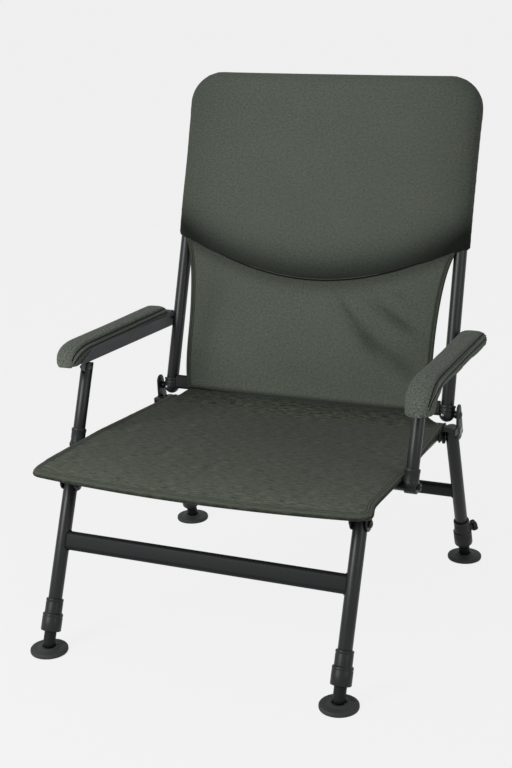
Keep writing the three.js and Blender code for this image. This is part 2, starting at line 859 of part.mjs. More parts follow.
function bow(radius) {
  const reach = backCornerRadius * bendPull;
  const startX = backSpanAt(uprightTop);
  const bend = (side) => {
    const start = new THREE.Vector3(side * startX, 0, uprightTop);
    const end = new THREE.Vector3(side * (startX - backCornerRadius), 0, backTubeTop);
    return [start, start.clone().setZ(uprightTop + reach), end.clone().setX(end.x + side * reach), end];
  };
  const path = new THREE.CurvePath();
  const [a, b, c, d] = bend(sides.left);
  const [e, f, g, h] = bend(sides.right);
  path.add(new THREE.LineCurve3(a.clone().setZ(a.z - bowLap), a));
  path.add(new THREE.CubicBezierCurve3(a, b, c, d));
  path.add(new THREE.LineCurve3(d, h));
  path.add(new THREE.CubicBezierCurve3(h, g, f, e));
  path.add(new THREE.LineCurve3(e, e.clone().setZ(e.z - bowLap)));
  const section = new THREE.Shape().absarc(0, 0, radius, 0, 2 * Math.PI);
  return new THREE.ExtrudeGeometry(section, { steps: 26, extrudePath: path, curveSegments: 6 });
}

const armPivotHeight = supportLength;

function backTube() {
  const outer = Object.values(sides).map((side) =>
    upright(side, legTubeRadius, backTubeEnd, uprightTop - bowLap + clearance),
  );
  const bores = Object.values(sides).map((side) =>
    upright(side, legTubeRadius - tubeWall, backTubeEnd - overrun, uprightTop - 2 * bowLap),
  );
  const reach = backHalfSpanBottom + 2 * legTubeRadius;
  const holes = [
    crossRod(pinRadius + clearance, -reach, reach, 0, 0),
    crossRod(pinRadius + clearance, -reach, reach, 0, armPivotHeight),
  ];
  return cut(join(...outer, bow(legTubeRadius + bowSleeve)), ...bores, ...holes);
}

place("back_tube", backTube(), tubePaint, back);

// End collars of the backrest tubes, with the hinge eye
const socketBottom = -9;
const socketTop = 22;
const socketChamfer = 2;
const socketRim = 0.7;
const socketRimHeight = 4;

function backSocket(side) {
  const body = turned([
    [0, socketBottom],
    [socketRadius - socketChamfer, socketBottom],
    [socketRadius, socketBottom + socketChamfer],
    [socketRadius, socketTop - socketRimHeight],
    [socketRadius + socketRim, socketTop - socketRimHeight + socketRim],
    [socketRadius + socketRim, socketTop - socketRim],
    [socketRadius, socketTop],
    [0, socketTop],
  ]).translate(side * backHalfSpanBottom, 0, 0);
  const bore = upright(side, legTubeRadius + clearance, backTubeEnd - clearance, socketTop + overrun);
  const reach = backHalfSpanBottom + 2 * socketRadius;
  const hole = crossRod(pinRadius + clearance, -reach, reach, 0, 0);
  return cut(body, bore, hole);
}

// The flat bar between the collars
const backBarWidth = 25;
const backBarThickness = 8;
const backBarHeight = 8.5;
const backBarForward = 5.5;

function backCrossBar() {
  const tools = Object.values(sides).map((side) =>
    rod(socketRadius + socketRim + 2 * clearance, socketBottom - overrun, socketTop + overrun, fineSides).translate(
      side * backHalfSpanBottom,
      0,
      0,
    ),
  );
  return cut(
    ovalBar(backBarWidth, backBarThickness, backHalfSpanBottom, -backBarForward, backBarHeight, 0),
    ...tools,
  );
}

place("back_socket_left", backSocket(sides.left), blackPlastic, back);
place("back_socket_right", backSocket(sides.right), blackPlastic, back);
place("back_cross_bar", backCrossBar(), barPaint, back);

// Lower panel: a thin lumbar sheet held by the flat bar below and by the pad's seam above
const panelHemBack = backBarForward + backBarThickness / 2 + clearance;
const panelSheetBack = legTubeRadius + 2 * clearance;
const panelFront = 14.4;
const panelHemHeight = 30;
const panelCrown = 3;
const seamGap = 0.9;
const seamSteps = 5;

function seamHeight(x) {
  return padSeamMiddle + padSeamRise * Math.min(Math.abs(x) / panelHalfWidthTop, 1) ** 2;
}

function panelHalfWidth(height) {
  const low = THREE.MathUtils.clamp((panelWaistHeight - height) / panelWaistHeight, 0, 1);
  const rise = padSeamMiddle + padSeamRise - panelWaistHeight;
  const high = THREE.MathUtils.clamp((height - panelWaistHeight) / rise, 0, 1);
  return (
    panelHalfWidthWaist -
    (panelHalfWidthWaist - panelHalfWidthBottom) * low ** 3 +
    (panelHalfWidthTop - panelHalfWidthWaist) * high ** 2
  );
}

// The height where a line of the panel at the given share of its width meets the pad's seam.
function panelTop(u) {
  let top = padSeamMiddle;
  for (let step = 0; step < seamSteps; step++) top = seamHeight(u * panelHalfWidth(top)) - seamGap;
  return top;
}

function lowerPanel() {
  const at = (u, v, front) => {
    const z = panelBottom + v * (panelTop(u) - panelBottom);
    const x = u * panelHalfWidth(z);
    const crown = panelCrown * (1 - u ** 4) * Math.sin(Math.PI * v) ** 2;
    const behind = panelHemBack + (panelSheetBack - panelHemBack) * THREE.MathUtils.smoothstep(z, 0, panelHemHeight);
    return [x, -(front ? panelFront : behind) - crown, z];
  };
  return shell(
    evenly(14, -1, 1),
    [0, 0.05, 0.1, 0.15, ...evenly(8, 0.24, 1)],
    (u, v) => at(u, v, true),
    (u, v) => at(u, v, false),
  );
}

place("back_lower_panel", lowerPanel(), sheetCloth, back);

// Upper pad: a padded sleeve drawn over the bow, open below where the tubes come out
const padFrontDepth = 17;
const padBackDepth = 13;
const padRound = 15;
const padCrown = 7.5;
const padCrownReach = 70;
const padHollow = 1.6;
const padEdge = 2;
const padSeamShare = 0.86;

function padEdgeDistance(x, z) {
  const cornerX = padHalfWidth - padCornerRadius;
  const cornerZ = padTop - padCornerRadius;
  const pastX = Math.abs(x) - cornerX;
  const pastZ = z - cornerZ;
  if (pastX > 0 && pastZ > 0) return padCornerRadius - Math.hypot(pastX, pastZ);
  return Math.min(padHalfWidth - Math.abs(x), padTop - z);
}

function padHalfWidthAt(z) {
  const past = Math.max(z - (padTop - padCornerRadius), 0);
  return padHalfWidth - padCornerRadius + Math.sqrt(Math.max(padCornerRadius ** 2 - past ** 2, 0));
}

function upperPad() {
  const at = (u, v, front) => {
    const seam = seamHeight(u * padHalfWidth);
    const z = seam + v * (padTop - seam);
    const x = u * padHalfWidthAt(z);
    const side = Math.max(padEdgeDistance(x, z), 0);
    const low = z - seam;
    const full = front ? padFrontDepth : padBackDepth;
    const swell = padEdge + (full - padEdge) * roundedShare(side, padRound);
    const lowRound = padSeamShare + (1 - padSeamShare) * roundedShare(low, padRound);
    const inward = Math.min(side, low + padRound);
    const crown = (front ? padCrown : padHollow) * (1 - Math.exp(-inward / padCrownReach));
    const depth = swell * lowRound + crown;
    return [x, front ? -depth : depth, z];
  };
  const edge = padRound / padHalfWidth;
  const seamEnd = panelHalfWidthTop / padHalfWidth;
  const half = [...evenly(5, 0.16, 0.8), 0.86, seamEnd, 1 - edge, 1 - edge / 2, 1 - edge / 5, 1];
  const us = [...half.map((share) => -share).reverse(), 0, ...half];
  const last = padRound / (padTop - padSeamMiddle);
  const crownRows = [2.2, 1.1, 0.5, 0.15, 0].map((share) => 1 - share * last);
  const body = shell(
    us,
    [0, last / 2, ...evenly(5, last, 1 - 3.8 * last), ...crownRows],
    (u, v) => at(u, v, true),
    (u, v) => at(u, v, false),
  );
  const gap = clearance + bowSleeve;
  const lap = uprightTop - bowLap;
  const channels = Object.values(sides).flatMap((side) => [
    upright(side, legTubeRadius + gap, padSeamMiddle, lap),
    upright(side, legTubeRadius + gap + 2 * clearance, lap - 2 * clearance, lap + overrun),
  ]);
  return cut(body, bow(legTubeRadius + gap + clearance), ...channels);
}

place("back_upper_pad", upperPad(), padCloth, back);

// Arms. The backrest, the armrest, the arm support and the seat frame are the four links of a parallelogram.
const supportRun = new THREE.Vector2(Math.sin(reclineAngle), Math.cos(reclineAngle)).multiplyScalar(supportLength);
const supportTopY = supportPivotY + supportRun.x;
const supportTopZ = supportPivotZ + supportRun.y;
const armPivotY = reclinePivotY + supportRun.x;
const armPivotZ = reclinePivotZ + supportRun.y;
const armRun = armPivotY - supportTopY;
const armRailSpanAtPivot = supportHalfSpan - armRun * Math.tan(armRailSplay);
const armRailRear = 6;
const armRailRearStep = 5;
const armEarRadius = 9.5;
const armRailOverhang = 28;
const armRailFront = armRun + armRailOverhang;
const armRailBottomAtPivot = -19;
const armNoseRun = 42;
const lugRadius = 8;
const lugThickness = 5;
const clevisDepth = 11;
const supportTipRadius = armTubeRadius;
const armPivotShoulder = 6;

// Local frame of an armrest: origin at its pivot on the backrest, -y towards the front.
function armFrame(side) {
  const frame = new THREE.Group();
  frame.position.set(side * armRailSpanAtPivot, armPivotY, armPivotZ);
  frame.rotation.set(-armRailSlope, 0, side * armRailSplay, "ZXY");
  frame.updateMatrix();
  return frame;
}

function armRail(side, frame) {
  const shape = new THREE.Shape();
  const low = armRailBottomAtPivot;
  const high = low + armRailHeight;
  shape.moveTo(0, low);
  shape.lineTo(armRailRear, low + armRailRearStep);
  shape.lineTo(armRailRear, 0);
  shape.lineTo(0, high);
  shape.lineTo(-armRailFront + armNoseRun, high);
  shape.lineTo(-armRailFront, low);
  shape.closePath();
  const beam = plate(shape, -armRailWidth / 2, armRailWidth / 2);
  const toLocal = frame.matrix.clone().invert();
  const tip = capsuleShape(supportTopY, supportTopZ, lugRadius, supportTopY, supportTopZ + clevisDepth, lugRadius - clearance);
  const lug = plate(tip, side * supportHalfSpan - lugThickness / 2, side * supportHalfSpan + lugThickness / 2, 6);
  const pin = crossRod(pinRadius, -supportTipRadius, supportTipRadius, supportTopY, supportTopZ).translate(
    side * supportHalfSpan,
    0,
    0,
  );
  const ear = crossRod(armEarRadius, -armRailWidth / 2, armRailWidth / 2, 0, 0, roundSides);
  const centre = side * armRailSpanAtPivot;
  const hole = crossRod(pinRadius + clearance, centre - armRailWidth, centre + armRailWidth, armPivotY, armPivotZ);
  return cut(join(beam, ear, lug.applyMatrix4(toLocal), pin.applyMatrix4(toLocal)), hole.applyMatrix4(toLocal));
}

// The pad lies on the rail, hangs over its outer side and closes round its front end.
const armPadSkirt = 9;
const armPadNose = 30;
const armPadRound = 15;
const armPadCrown = 2;

function armPad(side) {
  const railTop = armRailBottomAtPivot + armRailHeight + clearance;
  const centre = side * armPadOutset;
  const half = armPadWidth / 2;
  const railFace = side * (armRailWidth / 2 + 2 * clearance);
  const rearEnd = -armPadRear;
  const frontEnd = -(armRun + armPadOverhang);
  const length = rearEnd - frontEnd;
  const halfAt = (y) => {
    const fromFront = y - frontEnd;
    const fromRear = rearEnd - y;
    const nose = 0.45 * (1 - roundedShare(fromFront, armPadNose));
    const tail = 0.3 * (1 - roundedShare(fromRear, armPadRound));
    return half * (1 - nose - tail);
  };
  const fall = Math.tan(armRailSlope - armPadSlope);
  const topAt = (x, y) => {
    const edge = halfAt(y) - Math.abs(x - centre);
    const nose = armPadNose * (1 - roundedShare(y - frontEnd, armPadNose));
    const tail = armPadRound * 0.4 * (1 - roundedShare(rearEnd - y, armPadRound));
    const roll = armPadRound * 0.5 * (1 - roundedShare(edge, armPadRound));
    const crown = armPadCrown * (1 - ((x - centre) / half) ** 2);
    return armPadTopAtPivot + y * fall - nose * 0.8 - tail - roll + crown;
  };
  const lowAt = (x, y) => {
    const past = Math.max(y + armRailFront + 2 * clearance, 0) / armNoseRun;
    const low = Math.min(armRailBottomAtPivot + past * armRailHeight, railTop);
    const overSide = side * (x - railFace) > hemStep / 2;
    return overSide ? Math.min(low, railTop - armPadSkirt) : low;
  };
  const share = (x, y) => (x - centre) / halfAt(y);
  const faceShares = [share(railFace, -armRun), share(railFace + side * hemStep, -armRun)];
  const plain = [-1, -0.9, -0.66, -0.3, 0, 0.3, 0.66, 0.9, 1];
  const us = [...plain, ...faceShares].sort((a, b) => a - b);
  const noseRows = [0, 0.12, 0.35, 0.65, 1].map((s) => frontEnd + s * armPadNose);
  const slantEnd = -armRailFront + armNoseRun;
  const rows = [
    ...noseRows,
    ...evenly(3, -armRailFront, slantEnd).filter((y) => y > noseRows[4] + hemWidth),
    ...evenly(6, slantEnd + armPadNose, rearEnd - armPadRound),
    rearEnd - armPadRound * 0.4,
    rearEnd - armPadRound * 0.1,
    rearEnd,
  ];
  const xAt = (u, y) => {
    const inFace = faceShares.includes(u);
    if (!inFace) return centre + u * halfAt(y);
    return u === faceShares[0] ? railFace : railFace + side * hemStep;
  };
  return shell(
    us,
    rows,
    (u, y) => [xAt(u, y), y, topAt(xAt(u, y), y)],
    (u, y) => [xAt(u, y), y, Math.min(lowAt(xAt(u, y), y), topAt(xAt(u, y), y) - hemStep)],
  );
}

// Arm support: a tube with a forked upper end, in a plastic socket that turns on the stud of the seat rail
const tubeLean = Math.atan2(supportRun.x + 2 * supportTubeOffset, supportRun.y);
const armSocketBottom = 8;
const armSocketTop = 29;
const armSocketRadius = 12;
const armSocketEye = 11;
const armTubeStart = 13;
const forkGap = lugThickness / 2 + 2 * clearance;

function supportFrame(side) {
  const low = new THREE.Vector3(side * supportHalfSpan, supportPivotY - supportTubeOffset, supportPivotZ);
  const high = new THREE.Vector3(side * supportHalfSpan, supportTopY + supportTubeOffset, supportTopZ);
  return { low, high, frame: memberFrame(low, high), length: low.distanceTo(high) };
}

function armSupport(side) {
  const { frame, length } = supportFrame(side);
  const x = side * supportHalfSpan;
  const toLocal = frame.matrix.clone().invert();
  const tube = rod(armTubeRadius, armTubeStart, length + 2 * armTubeRadius);
  const bore = rod(armTubeRadius - tubeWall, armTubeStart - overrun, length - 3 * clevisDepth);
  const keepShape = capsuleShape(
    supportPivotY,
    supportPivotZ,
    2 * armTubeRadius,
    supportTopY,
    supportTopZ,
    supportTipRadius,
  );
  const keep = plate(keepShape, x - 2 * armTubeRadius, x + 2 * armTubeRadius, 8).applyMatrix4(toLocal);
  const slot = block(
    x - forkGap,
    x + forkGap,
    supportTopY - 3 * clevisDepth,
    supportTopY + 3 * clevisDepth,
    supportTopZ - clevisDepth,
    supportTopZ + 3 * clevisDepth,
  ).applyMatrix4(toLocal);
  const hole = crossRod(pinRadius + clearance, x - 2 * armTubeRadius, x + 2 * armTubeRadius, supportTopY, supportTopZ);
  return cut(overlapOf(tube, keep), bore, slot, hole.applyMatrix4(toLocal));
}

function armSocket(side) {
  const { frame } = supportFrame(side);
  const x = side * supportHalfSpan;
  const toLocal = frame.matrix.clone().invert();
  const collar = turned([
    [0, armSocketBottom - 2 * overrun],
    [armSocketRadius - socketChamfer, armSocketBottom - 2 * overrun],
    [armSocketRadius, armSocketBottom],
    [armSocketRadius, armSocketTop - socketRim],
    [armSocketRadius - socketRim, armSocketTop],
    [0, armSocketTop],
  ]);
  const eye = crossRod(
    armSocketEye,
    x - armTubeRadius + clearance,
    x + armTubeRadius - clearance,
    supportPivotY,
    supportPivotZ,
    fineSides,
  ).applyMatrix4(toLocal);
  const bore = rod(armTubeRadius + clearance, armTubeStart - clearance, armSocketTop + overrun);
  const reach = 2 * armSocketRadius;
  const hole = crossRod(boltRadius + clearance, x - reach, x + reach, supportPivotY, supportPivotZ);
  return cut(join(collar, eye), bore, hole.applyMatrix4(toLocal));
}

const studShank = 7.5;
const studStart = frontFootHalfSpan + railRadius + clearance;
const studShoulder = supportHalfSpan - armSocketRadius - 2 * clearance;
const studEnd = supportHalfSpan + armSocketRadius + clearance;

for (const [name, side] of Object.entries(sides)) {
  const arm = armFrame(side);
  chair.add(arm);
  place("arm_rail_" + name, armRail(side, arm), greyPlastic, arm);
  place("arm_pad_" + name, armPad(side), padCloth, arm);
  const { frame } = supportFrame(side);
  chair.add(frame);
  place("arm_support_" + name, armSupport(side), tubePaint, frame);
  place("arm_socket_" + name, armSocket(side), blackPlastic, frame);
  place(
    "arm_stud_" + name,
    boltAlongX(
      side,
      [
        [studShank, studStart, studShoulder],
        [boltRadius, studShoulder, studEnd],
        [boltHeadRadius, studEnd, studEnd + boltHeadHeight],
      ],
      supportPivotY,
      supportPivotZ,
    ),
    zincSteel,
  );
  const tubeSpan = backSpanAt(armPivotHeight);
  const railInner = armRailSpanAtPivot - armRailWidth / 2;
  const railOuter = armRailSpanAtPivot + armRailWidth / 2;
  place(
    "arm_pivot_" + name,
    boltAlongX(
      side,
      [
        [pinRadius, tubeSpan - legTubeRadius, tubeSpan + legTubeRadius + clearance],
        [armPivotShoulder, tubeSpan + legTubeRadius + clearance, railInner - clearance],
        [pinRadius, railInner - clearance, railOuter + clearance],
        [armPivotShoulder, railOuter + clearance, railOuter + clearance + boltHeadHeight],
      ],
      0,
      armPivotHeight,
    ),
    zincSteel,
    back,
  );
}

// The origin lies on the ground under the middle of the chair
chair.updateMatrixWorld(true);
const extent = new THREE.Box3().setFromObject(chair, true);
chair.position.y = -(extent.min.y + extent.max.y) / 2;

export default chair;
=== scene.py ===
import math

import bmesh
import bpy
import numpy as np
from mathutils import Matrix, Vector
from mathutils.bvhtree import BVHTree


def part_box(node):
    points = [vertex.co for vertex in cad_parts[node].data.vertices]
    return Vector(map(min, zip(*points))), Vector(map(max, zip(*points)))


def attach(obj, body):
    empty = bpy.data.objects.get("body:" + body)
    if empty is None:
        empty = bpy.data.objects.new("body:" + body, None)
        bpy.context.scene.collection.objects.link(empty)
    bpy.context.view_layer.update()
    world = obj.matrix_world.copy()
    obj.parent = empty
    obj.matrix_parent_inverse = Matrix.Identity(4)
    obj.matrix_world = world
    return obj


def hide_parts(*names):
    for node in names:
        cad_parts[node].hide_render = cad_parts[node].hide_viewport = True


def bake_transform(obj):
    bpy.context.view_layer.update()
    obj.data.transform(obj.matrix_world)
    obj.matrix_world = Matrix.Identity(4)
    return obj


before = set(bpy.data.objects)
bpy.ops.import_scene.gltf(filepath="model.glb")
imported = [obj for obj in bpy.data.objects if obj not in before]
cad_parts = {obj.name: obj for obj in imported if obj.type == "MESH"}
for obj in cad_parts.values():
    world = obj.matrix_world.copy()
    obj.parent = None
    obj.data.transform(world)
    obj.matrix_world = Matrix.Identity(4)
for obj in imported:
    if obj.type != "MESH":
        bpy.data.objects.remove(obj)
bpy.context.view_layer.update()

# Camera. It stands in front of the chair and to the right of its middle, at about 1 m, and looks down
# on the seat with a long lens. A slight roll follows the photograph's own tilt.
camera = bpy.data.objects.new("camera", bpy.data.cameras.new("camera"))
bpy.context.scene.collection.objects.link(camera)
bpy.context.scene.camera = camera
camera_place = (0.86581, -1.96619, 1.02318)
swing, dip, roll = (math.radians(angle) for angle in (24.16, 16.83, -1.68))
ahead = Vector((-math.sin(swing) * math.cos(dip), math.cos(swing) * math.cos(dip), -math.sin(dip)))
level = Vector((math.cos(swing), math.sin(swing), 0))
upward = level.cross(ahead)
axes = (
    level * math.cos(roll) + upward * math.sin(roll),
    upward * math.cos(roll) - level * math.sin(roll),
    -ahead,
)
camera.matrix_world = Matrix.Translation(camera_place) @ Matrix(axes).transposed().to_4x4()
camera.data.sensor_width = 36
camera.data.lens = 64.196
camera.data.clip_end = 200


# Floor and light. A plain pale floor under a pale surrounding, with one large soft lamp in front on the
# left and a weaker one on the right. Camera, mirror and glass rays see the backdrop's own colour.
class Wire:
    """One output of a node. Sums, differences, products and powers of wires and numbers add Math nodes."""

    def __init__(self, tree, socket=None):
        self.tree = tree
        self.socket = socket

    def node(self, kind, settings, inputs, output=0):
        """Adds a node: its settings first, then the values or links of its sockets. Gives one output."""
        made = self.tree.nodes.new("ShaderNode" + kind)
        for name, value in settings.items():
            setattr(made, name, value)
        for name, value in inputs.items():
            if isinstance(value, Wire):
                self.tree.links.new(value.socket, made.inputs[name])
            else:
                made.inputs[name].default_value = value
        return Wire(self.tree, made.outputs[output])

    def math(self, operation, *values, clamp=False):
        return self.node("Math", {"operation": operation, "use_clamp": clamp}, dict(enumerate(values)))

    def __add__(self, other):
        return self.math("ADD", self, other)

    __radd__ = __add__

    def __sub__(self, other):
        return self.math("SUBTRACT", self, other)

    def __rsub__(self, other):
        return self.math("SUBTRACT", other, self)

    def __mul__(self, other):
        return self.math("MULTIPLY", self, other)

    __rmul__ = __mul__

    def __pow__(self, other):
        return self.math("POWER", self, other)

    def within(self):
        """The same value, kept between 0 and 1."""
        return self.math("ADD", self, 0, clamp=True)


def linear(*levels):
    """A colour given as three levels from 0 to 255 on a screen, as the light that it stands for."""
    share = np.array(levels) / 255
    return (*np.where(share > 0.04045, ((share + 0.055) / 1.055) ** 2.4, share / 12.92), 1)


backdrop_tone = linear(240, 240, 240)
backdrop_level = backdrop_tone[0]
surround_level = 0.36
floor_shadow_share = 0.06
floor_glow = 1.035


def backdrop_share(start, direct_share=1.0):
    """The share of the backdrop's own colour that a ray sees: all of it for a mirror's or a glass's ray, and
    the given share for the camera's."""
    kinds = ("Is Camera Ray", "Is Glossy Ray", "Is Transmission Ray")
    direct, mirrored, passed = (start.node("LightPath", {}, {}, kind) for kind in kinds)
    return (direct * direct_share + mirrored + passed).within()


world = bpy.data.worlds.new("studio")
world.use_nodes = True
bpy.context.scene.world = world
background = world.node_tree.nodes["Background"]
background.inputs["Color"].default_value = (1, 1, 1, 1)
brightness = backdrop_share(Wire(world.node_tree)) * (backdrop_level - surround_level) + surround_level
world.node_tree.links.new(brightness.socket, background.inputs["Strength"])

floor_reach, floor_drop = 60, 0.0003
floor_mesh = bpy.data.meshes.new("floor")
floor_corners = np.array([(-1, -1, 0), (1, -1, 0), (1, 1, 0), (-1, 1, 0)]) * floor_reach - [0, 0, floor_drop]
floor_mesh.from_pydata(floor_corners.tolist(), [], [(0, 1, 2, 3)])
floor = bpy.data.objects.new("floor", floor_mesh)
bpy.context.scene.collection.objects.link(floor)
floor_paint = bpy.data.materials.new("floor_paint")
floor_paint.use_nodes = True
floor_paint.node_tree.nodes.clear()
ground = Wire(floor_paint.node_tree)
glow_share = backdrop_share(ground, 1 - floor_shadow_share)
shadowed = ground.node("BsdfDiffuse", {}, {"Color": linear(238, 238, 238)})
glowing = ground.node("Emission", {}, {"Color": backdrop_tone, "Strength": floor_glow})
floor_shader = ground.node("MixShader", {}, {0: glow_share, 1: shadowed, 2: glowing})
floor_output = floor_paint.node_tree.nodes.new("ShaderNodeOutputMaterial")
floor_paint.node_tree.links.new(floor_shader.socket, floor_output.inputs["Surface"])
floor_mesh.materials.append(floor_paint)


def lamp(name, place, target, size, power):
    """A square soft lamp at a place, turned towards a target."""
    light = bpy.data.lights.new(name, "AREA")
    light.size = size
    light.energy = power
    holder = bpy.data.objects.new(name, light)
    aim = (Vector(target) - Vector(place)).to_track_quat("-Z", "Y").to_matrix().to_4x4()
    holder.matrix_world = Matrix.Translation(place) @ aim
    bpy.context.scene.collection.objects.link(holder)


lamp("key_lamp", (-1.1, -2.0, 1.55), (0, 0, 0.4), 1.1, 44)
lamp("side_lamp", (2.4, -0.9, 1.3), (0, 0, 0.35), 0.9, 9)
bpy.context.scene.view_settings.view_transform = "Standard"


# Seat sheet: one stretched piece of coarse woven polyester. Its edges are folded round flat bars and
# stitched down with two rows, so that it lies taut from bar to bar and dips a little in the middle.
front_feet = (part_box("mud_foot_front_left")[0].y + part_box("mud_foot_front_left")[1].y) / 2
seat_front_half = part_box("seat_fabric")[1].x
corner_step, seat_taper = 0.0039, 0.0171
seat_side_half = seat_front_half - corner_step
seat_rear_half = seat_side_half - seat_taper
seat_rear_edge, taper_start = 0.478, 0.24
seat_corner, edge_bow = 0.02, 0.024
seat_level, seat_fall, level_start = 0.293, 0.0105, 0.05
droop_depth, droop_run = 0.008, 0.052
dish_depth, dish_run = 0.004, 0.104
drawn_height, drawn_half = 0.0172, 0.212


def ease(share):
    """Runs smoothly from 0 to 1 as the share does: three squares less two cubes of it."""
    share = np.clip(share, 0, 1)
    return share * share * (3 - 2 * share)


def quarter(share):
    """The height of a quarter circle over its run: the root of one less the square of what is left."""
    return np.sqrt(1 - (1 - np.clip(share, 0, 1)) ** 2)


def seat_half(y):
    """Half the seat's width: a step inwards behind the front corners, then a straight taper to the rear."""
    step = (seat_side_half - seat_front_half) * ease((y - level_start) / 0.022)
    taper = np.clip((y - taper_start) / (seat_rear_edge - taper_start), 0, 1)
    return seat_front_half + step + (seat_rear_half - seat_side_half) * taper


def seat_front(x):
    """The front edge: a shallow parabola falling back at the sides, and a quarter circle at each corner."""
    corner = seat_corner * (1 - quarter((seat_front_half - np.abs(x)) / seat_corner))
    return 0.0085 + edge_bow * (np.abs(x) / seat_front_half) ** 2 + corner


def seat_plane(y):
    """The height of the seat's plane at a distance behind the front feet: a straight fall to the rear."""
    return seat_level - seat_fall * (y - level_start) / (seat_rear_edge - level_start)


def seat_top(x, y):
    """The height of the cloth: the seat's plane, less a square-law droop at the front edge and a dish across
    the middle, with long low waves and one bell-shaped pull towards the bars. Between the collars the last
    stretch eases up to the backrest's lower edge."""
    across = np.minimum(np.abs(x) / seat_half(y), 1)
    back = np.maximum(y - seat_front(x), 0)
    droop = droop_depth * np.maximum(1 - back / droop_run, 0) ** 2
    dish = dish_depth * (1 - across**2) * ease(back / dish_run) * (1 - ease((y - 0.43) / 0.04))
    inside = (1 - across**2) * ease(back / 0.08) * ease((seat_rear_edge - y) / 0.08)
    waves = 0.0006 * np.sin(19 * x + 7 * y) * np.sin(13 * y - 4 * x + 1)
    off_pull = (x - 0.165 - 0.25 * (y - 0.2)) / 0.022
    pull = 0.0012 * np.exp(-(off_pull**2) - ((y - 0.2) / 0.09) ** 2)
    drawn_up = drawn_height * ease((y - 0.44) / 0.034) * (1 - ease((np.abs(x) - drawn_half) / 0.036))
    return seat_plane(y) - droop - dish + (waves - pull) * inside + drawn_up


def slab(upper, lower):
    """A closed sheet between two grids of points: both grids, and a rim of faces that joins their edges."""
    count, across = upper.shape[:2]
    top = np.arange(count * across).reshape(count, across)
    quads = np.stack([top[:-1, :-1], top[:-1, 1:], top[1:, 1:], top[1:, :-1]], -1).reshape(-1, 4)
    rim = np.concatenate([top[0, :-1], top[:-1, -1], top[-1, :0:-1], top[:0:-1, 0]])
    after = np.roll(rim, -1)
    edge = np.stack([rim, rim + top.size, after + top.size, after], -1)
    faces = np.concatenate([quads, quads[:, ::-1] + top.size, edge])
    return np.concatenate([upper.reshape(-1, 3), lower.reshape(-1, 3)]), faces.tolist()


def skin(rows, ring=False):
    """A closed body over a stack of closed loops of points. Each point joins its neighbours in its own loop
    and in the next. The two end loops are capped, or joined to each other if the stack makes a ring."""
    count, around = rows.shape[:2]
    here = np.arange(count * around).reshape(count, around)
    after = np.roll(here, -1, 0) if ring else here[1:]
    here = here if ring else here[:-1]
    quads = np.stack([here, np.roll(here, -1, 1), np.roll(after, -1, 1), after], -1).reshape(-1, 4)
    caps = [] if ring else [list(range(around))[::-1], list(range((count - 1) * around, count * around))]
    return rows.reshape(-1, 3), quads.tolist() + caps


def carried(path, section, across, ring=False):
    """A closed section carried along a path. At each point of the path the section's first measure runs along
    the cross product of across and the direction of travel, and its second square to both."""
    path = np.asarray(path, float)
    step = np.roll(path, -1, 0) - np.roll(path, 1, 0) if ring else np.gradient(path, axis=0)
    step /= np.linalg.norm(step, axis=1, keepdims=True)
    side = np.cross(across, step)
    side /= np.linalg.norm(side, axis=1, keepdims=True)
    rise = np.cross(step, side)
    section = np.broadcast_to(section, (len(path), *np.shape(section)[-2:]))
    return skin(path[:, None] + section[..., :1] * side[:, None] + section[..., 1:] * rise[:, None], ring)


def piece(name, *shapes, crease=35):
    """One mesh object of closed shapes, facing outwards, and smooth but for edges sharper than the crease."""
    points = np.concatenate([shape[0] for shape in shapes])
    faces, first = [], 0
    for shape in shapes:
        faces += [[corner + first for corner in face] for face in shape[1]]
        first += len(shape[0])
    mesh = bpy.data.meshes.new(name)
    mesh.from_pydata(points.tolist(), [], faces)
    work = bmesh.new()
    work.from_mesh(mesh)
    bmesh.ops.recalc_face_normals(work, faces=work.faces)
    work.to_mesh(mesh)
    work.free()
    mesh.shade_smooth()
    mesh.set_sharp_from_angle(angle=math.radians(crease))
    made = bpy.data.objects.new(name, mesh)
    bpy.context.scene.collection.objects.link(made)
    return made


def points_of(mesh):
    """All the points of a mesh, as rows of three."""
    points = np.empty(len(mesh.vertices) * 3)
    mesh.vertices.foreach_get("co", points)
    return points.reshape(-1, 3)


def unwrap(made, flat):
    """Gives a piece its own UV map in metres: flat turns its points into places on the cloth."""
    mesh = made.data
    corners = np.empty(len(mesh.loops), int)
    mesh.loops.foreach_get("vertex_index", corners)
    places = np.asarray(flat(points_of(mesh)), float)
    mesh.uv_layers.new(name="cloth").uv.foreach_set("vector", places[corners].ravel())


def fit(made, body, finish, slot, *nodes):
    """Paints a piece, lets it ride on its body and lets it stand for CAD nodes. Its slot is not used."""
    made.data.materials.clear()
    made.data.materials.append(finish)
    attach(made, body)
    if nodes:
        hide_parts(*nodes)
    return made


def surface(name, roughness, **constants):
    """A new material with one Principled shader. What is the same everywhere is set on its own sockets."""
    finish = bpy.data.materials.new(name)
    finish.use_nodes = True
    shader = finish.node_tree.nodes["Principled BSDF"]
    shader.inputs["Roughness"].default_value = roughness
    for socket, value in constants.items():
        shader.inputs[socket.replace("_", " ")].default_value = value
    return finish, shader, Wire(finish.node_tree)


def feed(finish, shader, colour, height, depth, strength, roughness=None):
    """Links a pattern's colour and roughness to the shader, and its height through a Bump node."""
    start = Wire(finish.node_tree)
    bump = start.node("Bump", {}, {"Strength": strength, "Distance": depth, "Height": height})
    finish.node_tree.links.new(bump.socket, shader.inputs["Normal"])
    finish.node_tree.links.new(colour.socket, shader.inputs["Base Color"])
    if roughness:
        finish.node_tree.links.new(roughness.socket, shader.inputs["Roughness"])


def tinted(start, mask, dark, light):
    """A colour between a dark and a light one, by a mask from 0 to 1."""
    return start.node("Mix", {"data_type": "RGBA"}, {0: mask, 6: dark, 7: light}, 2)


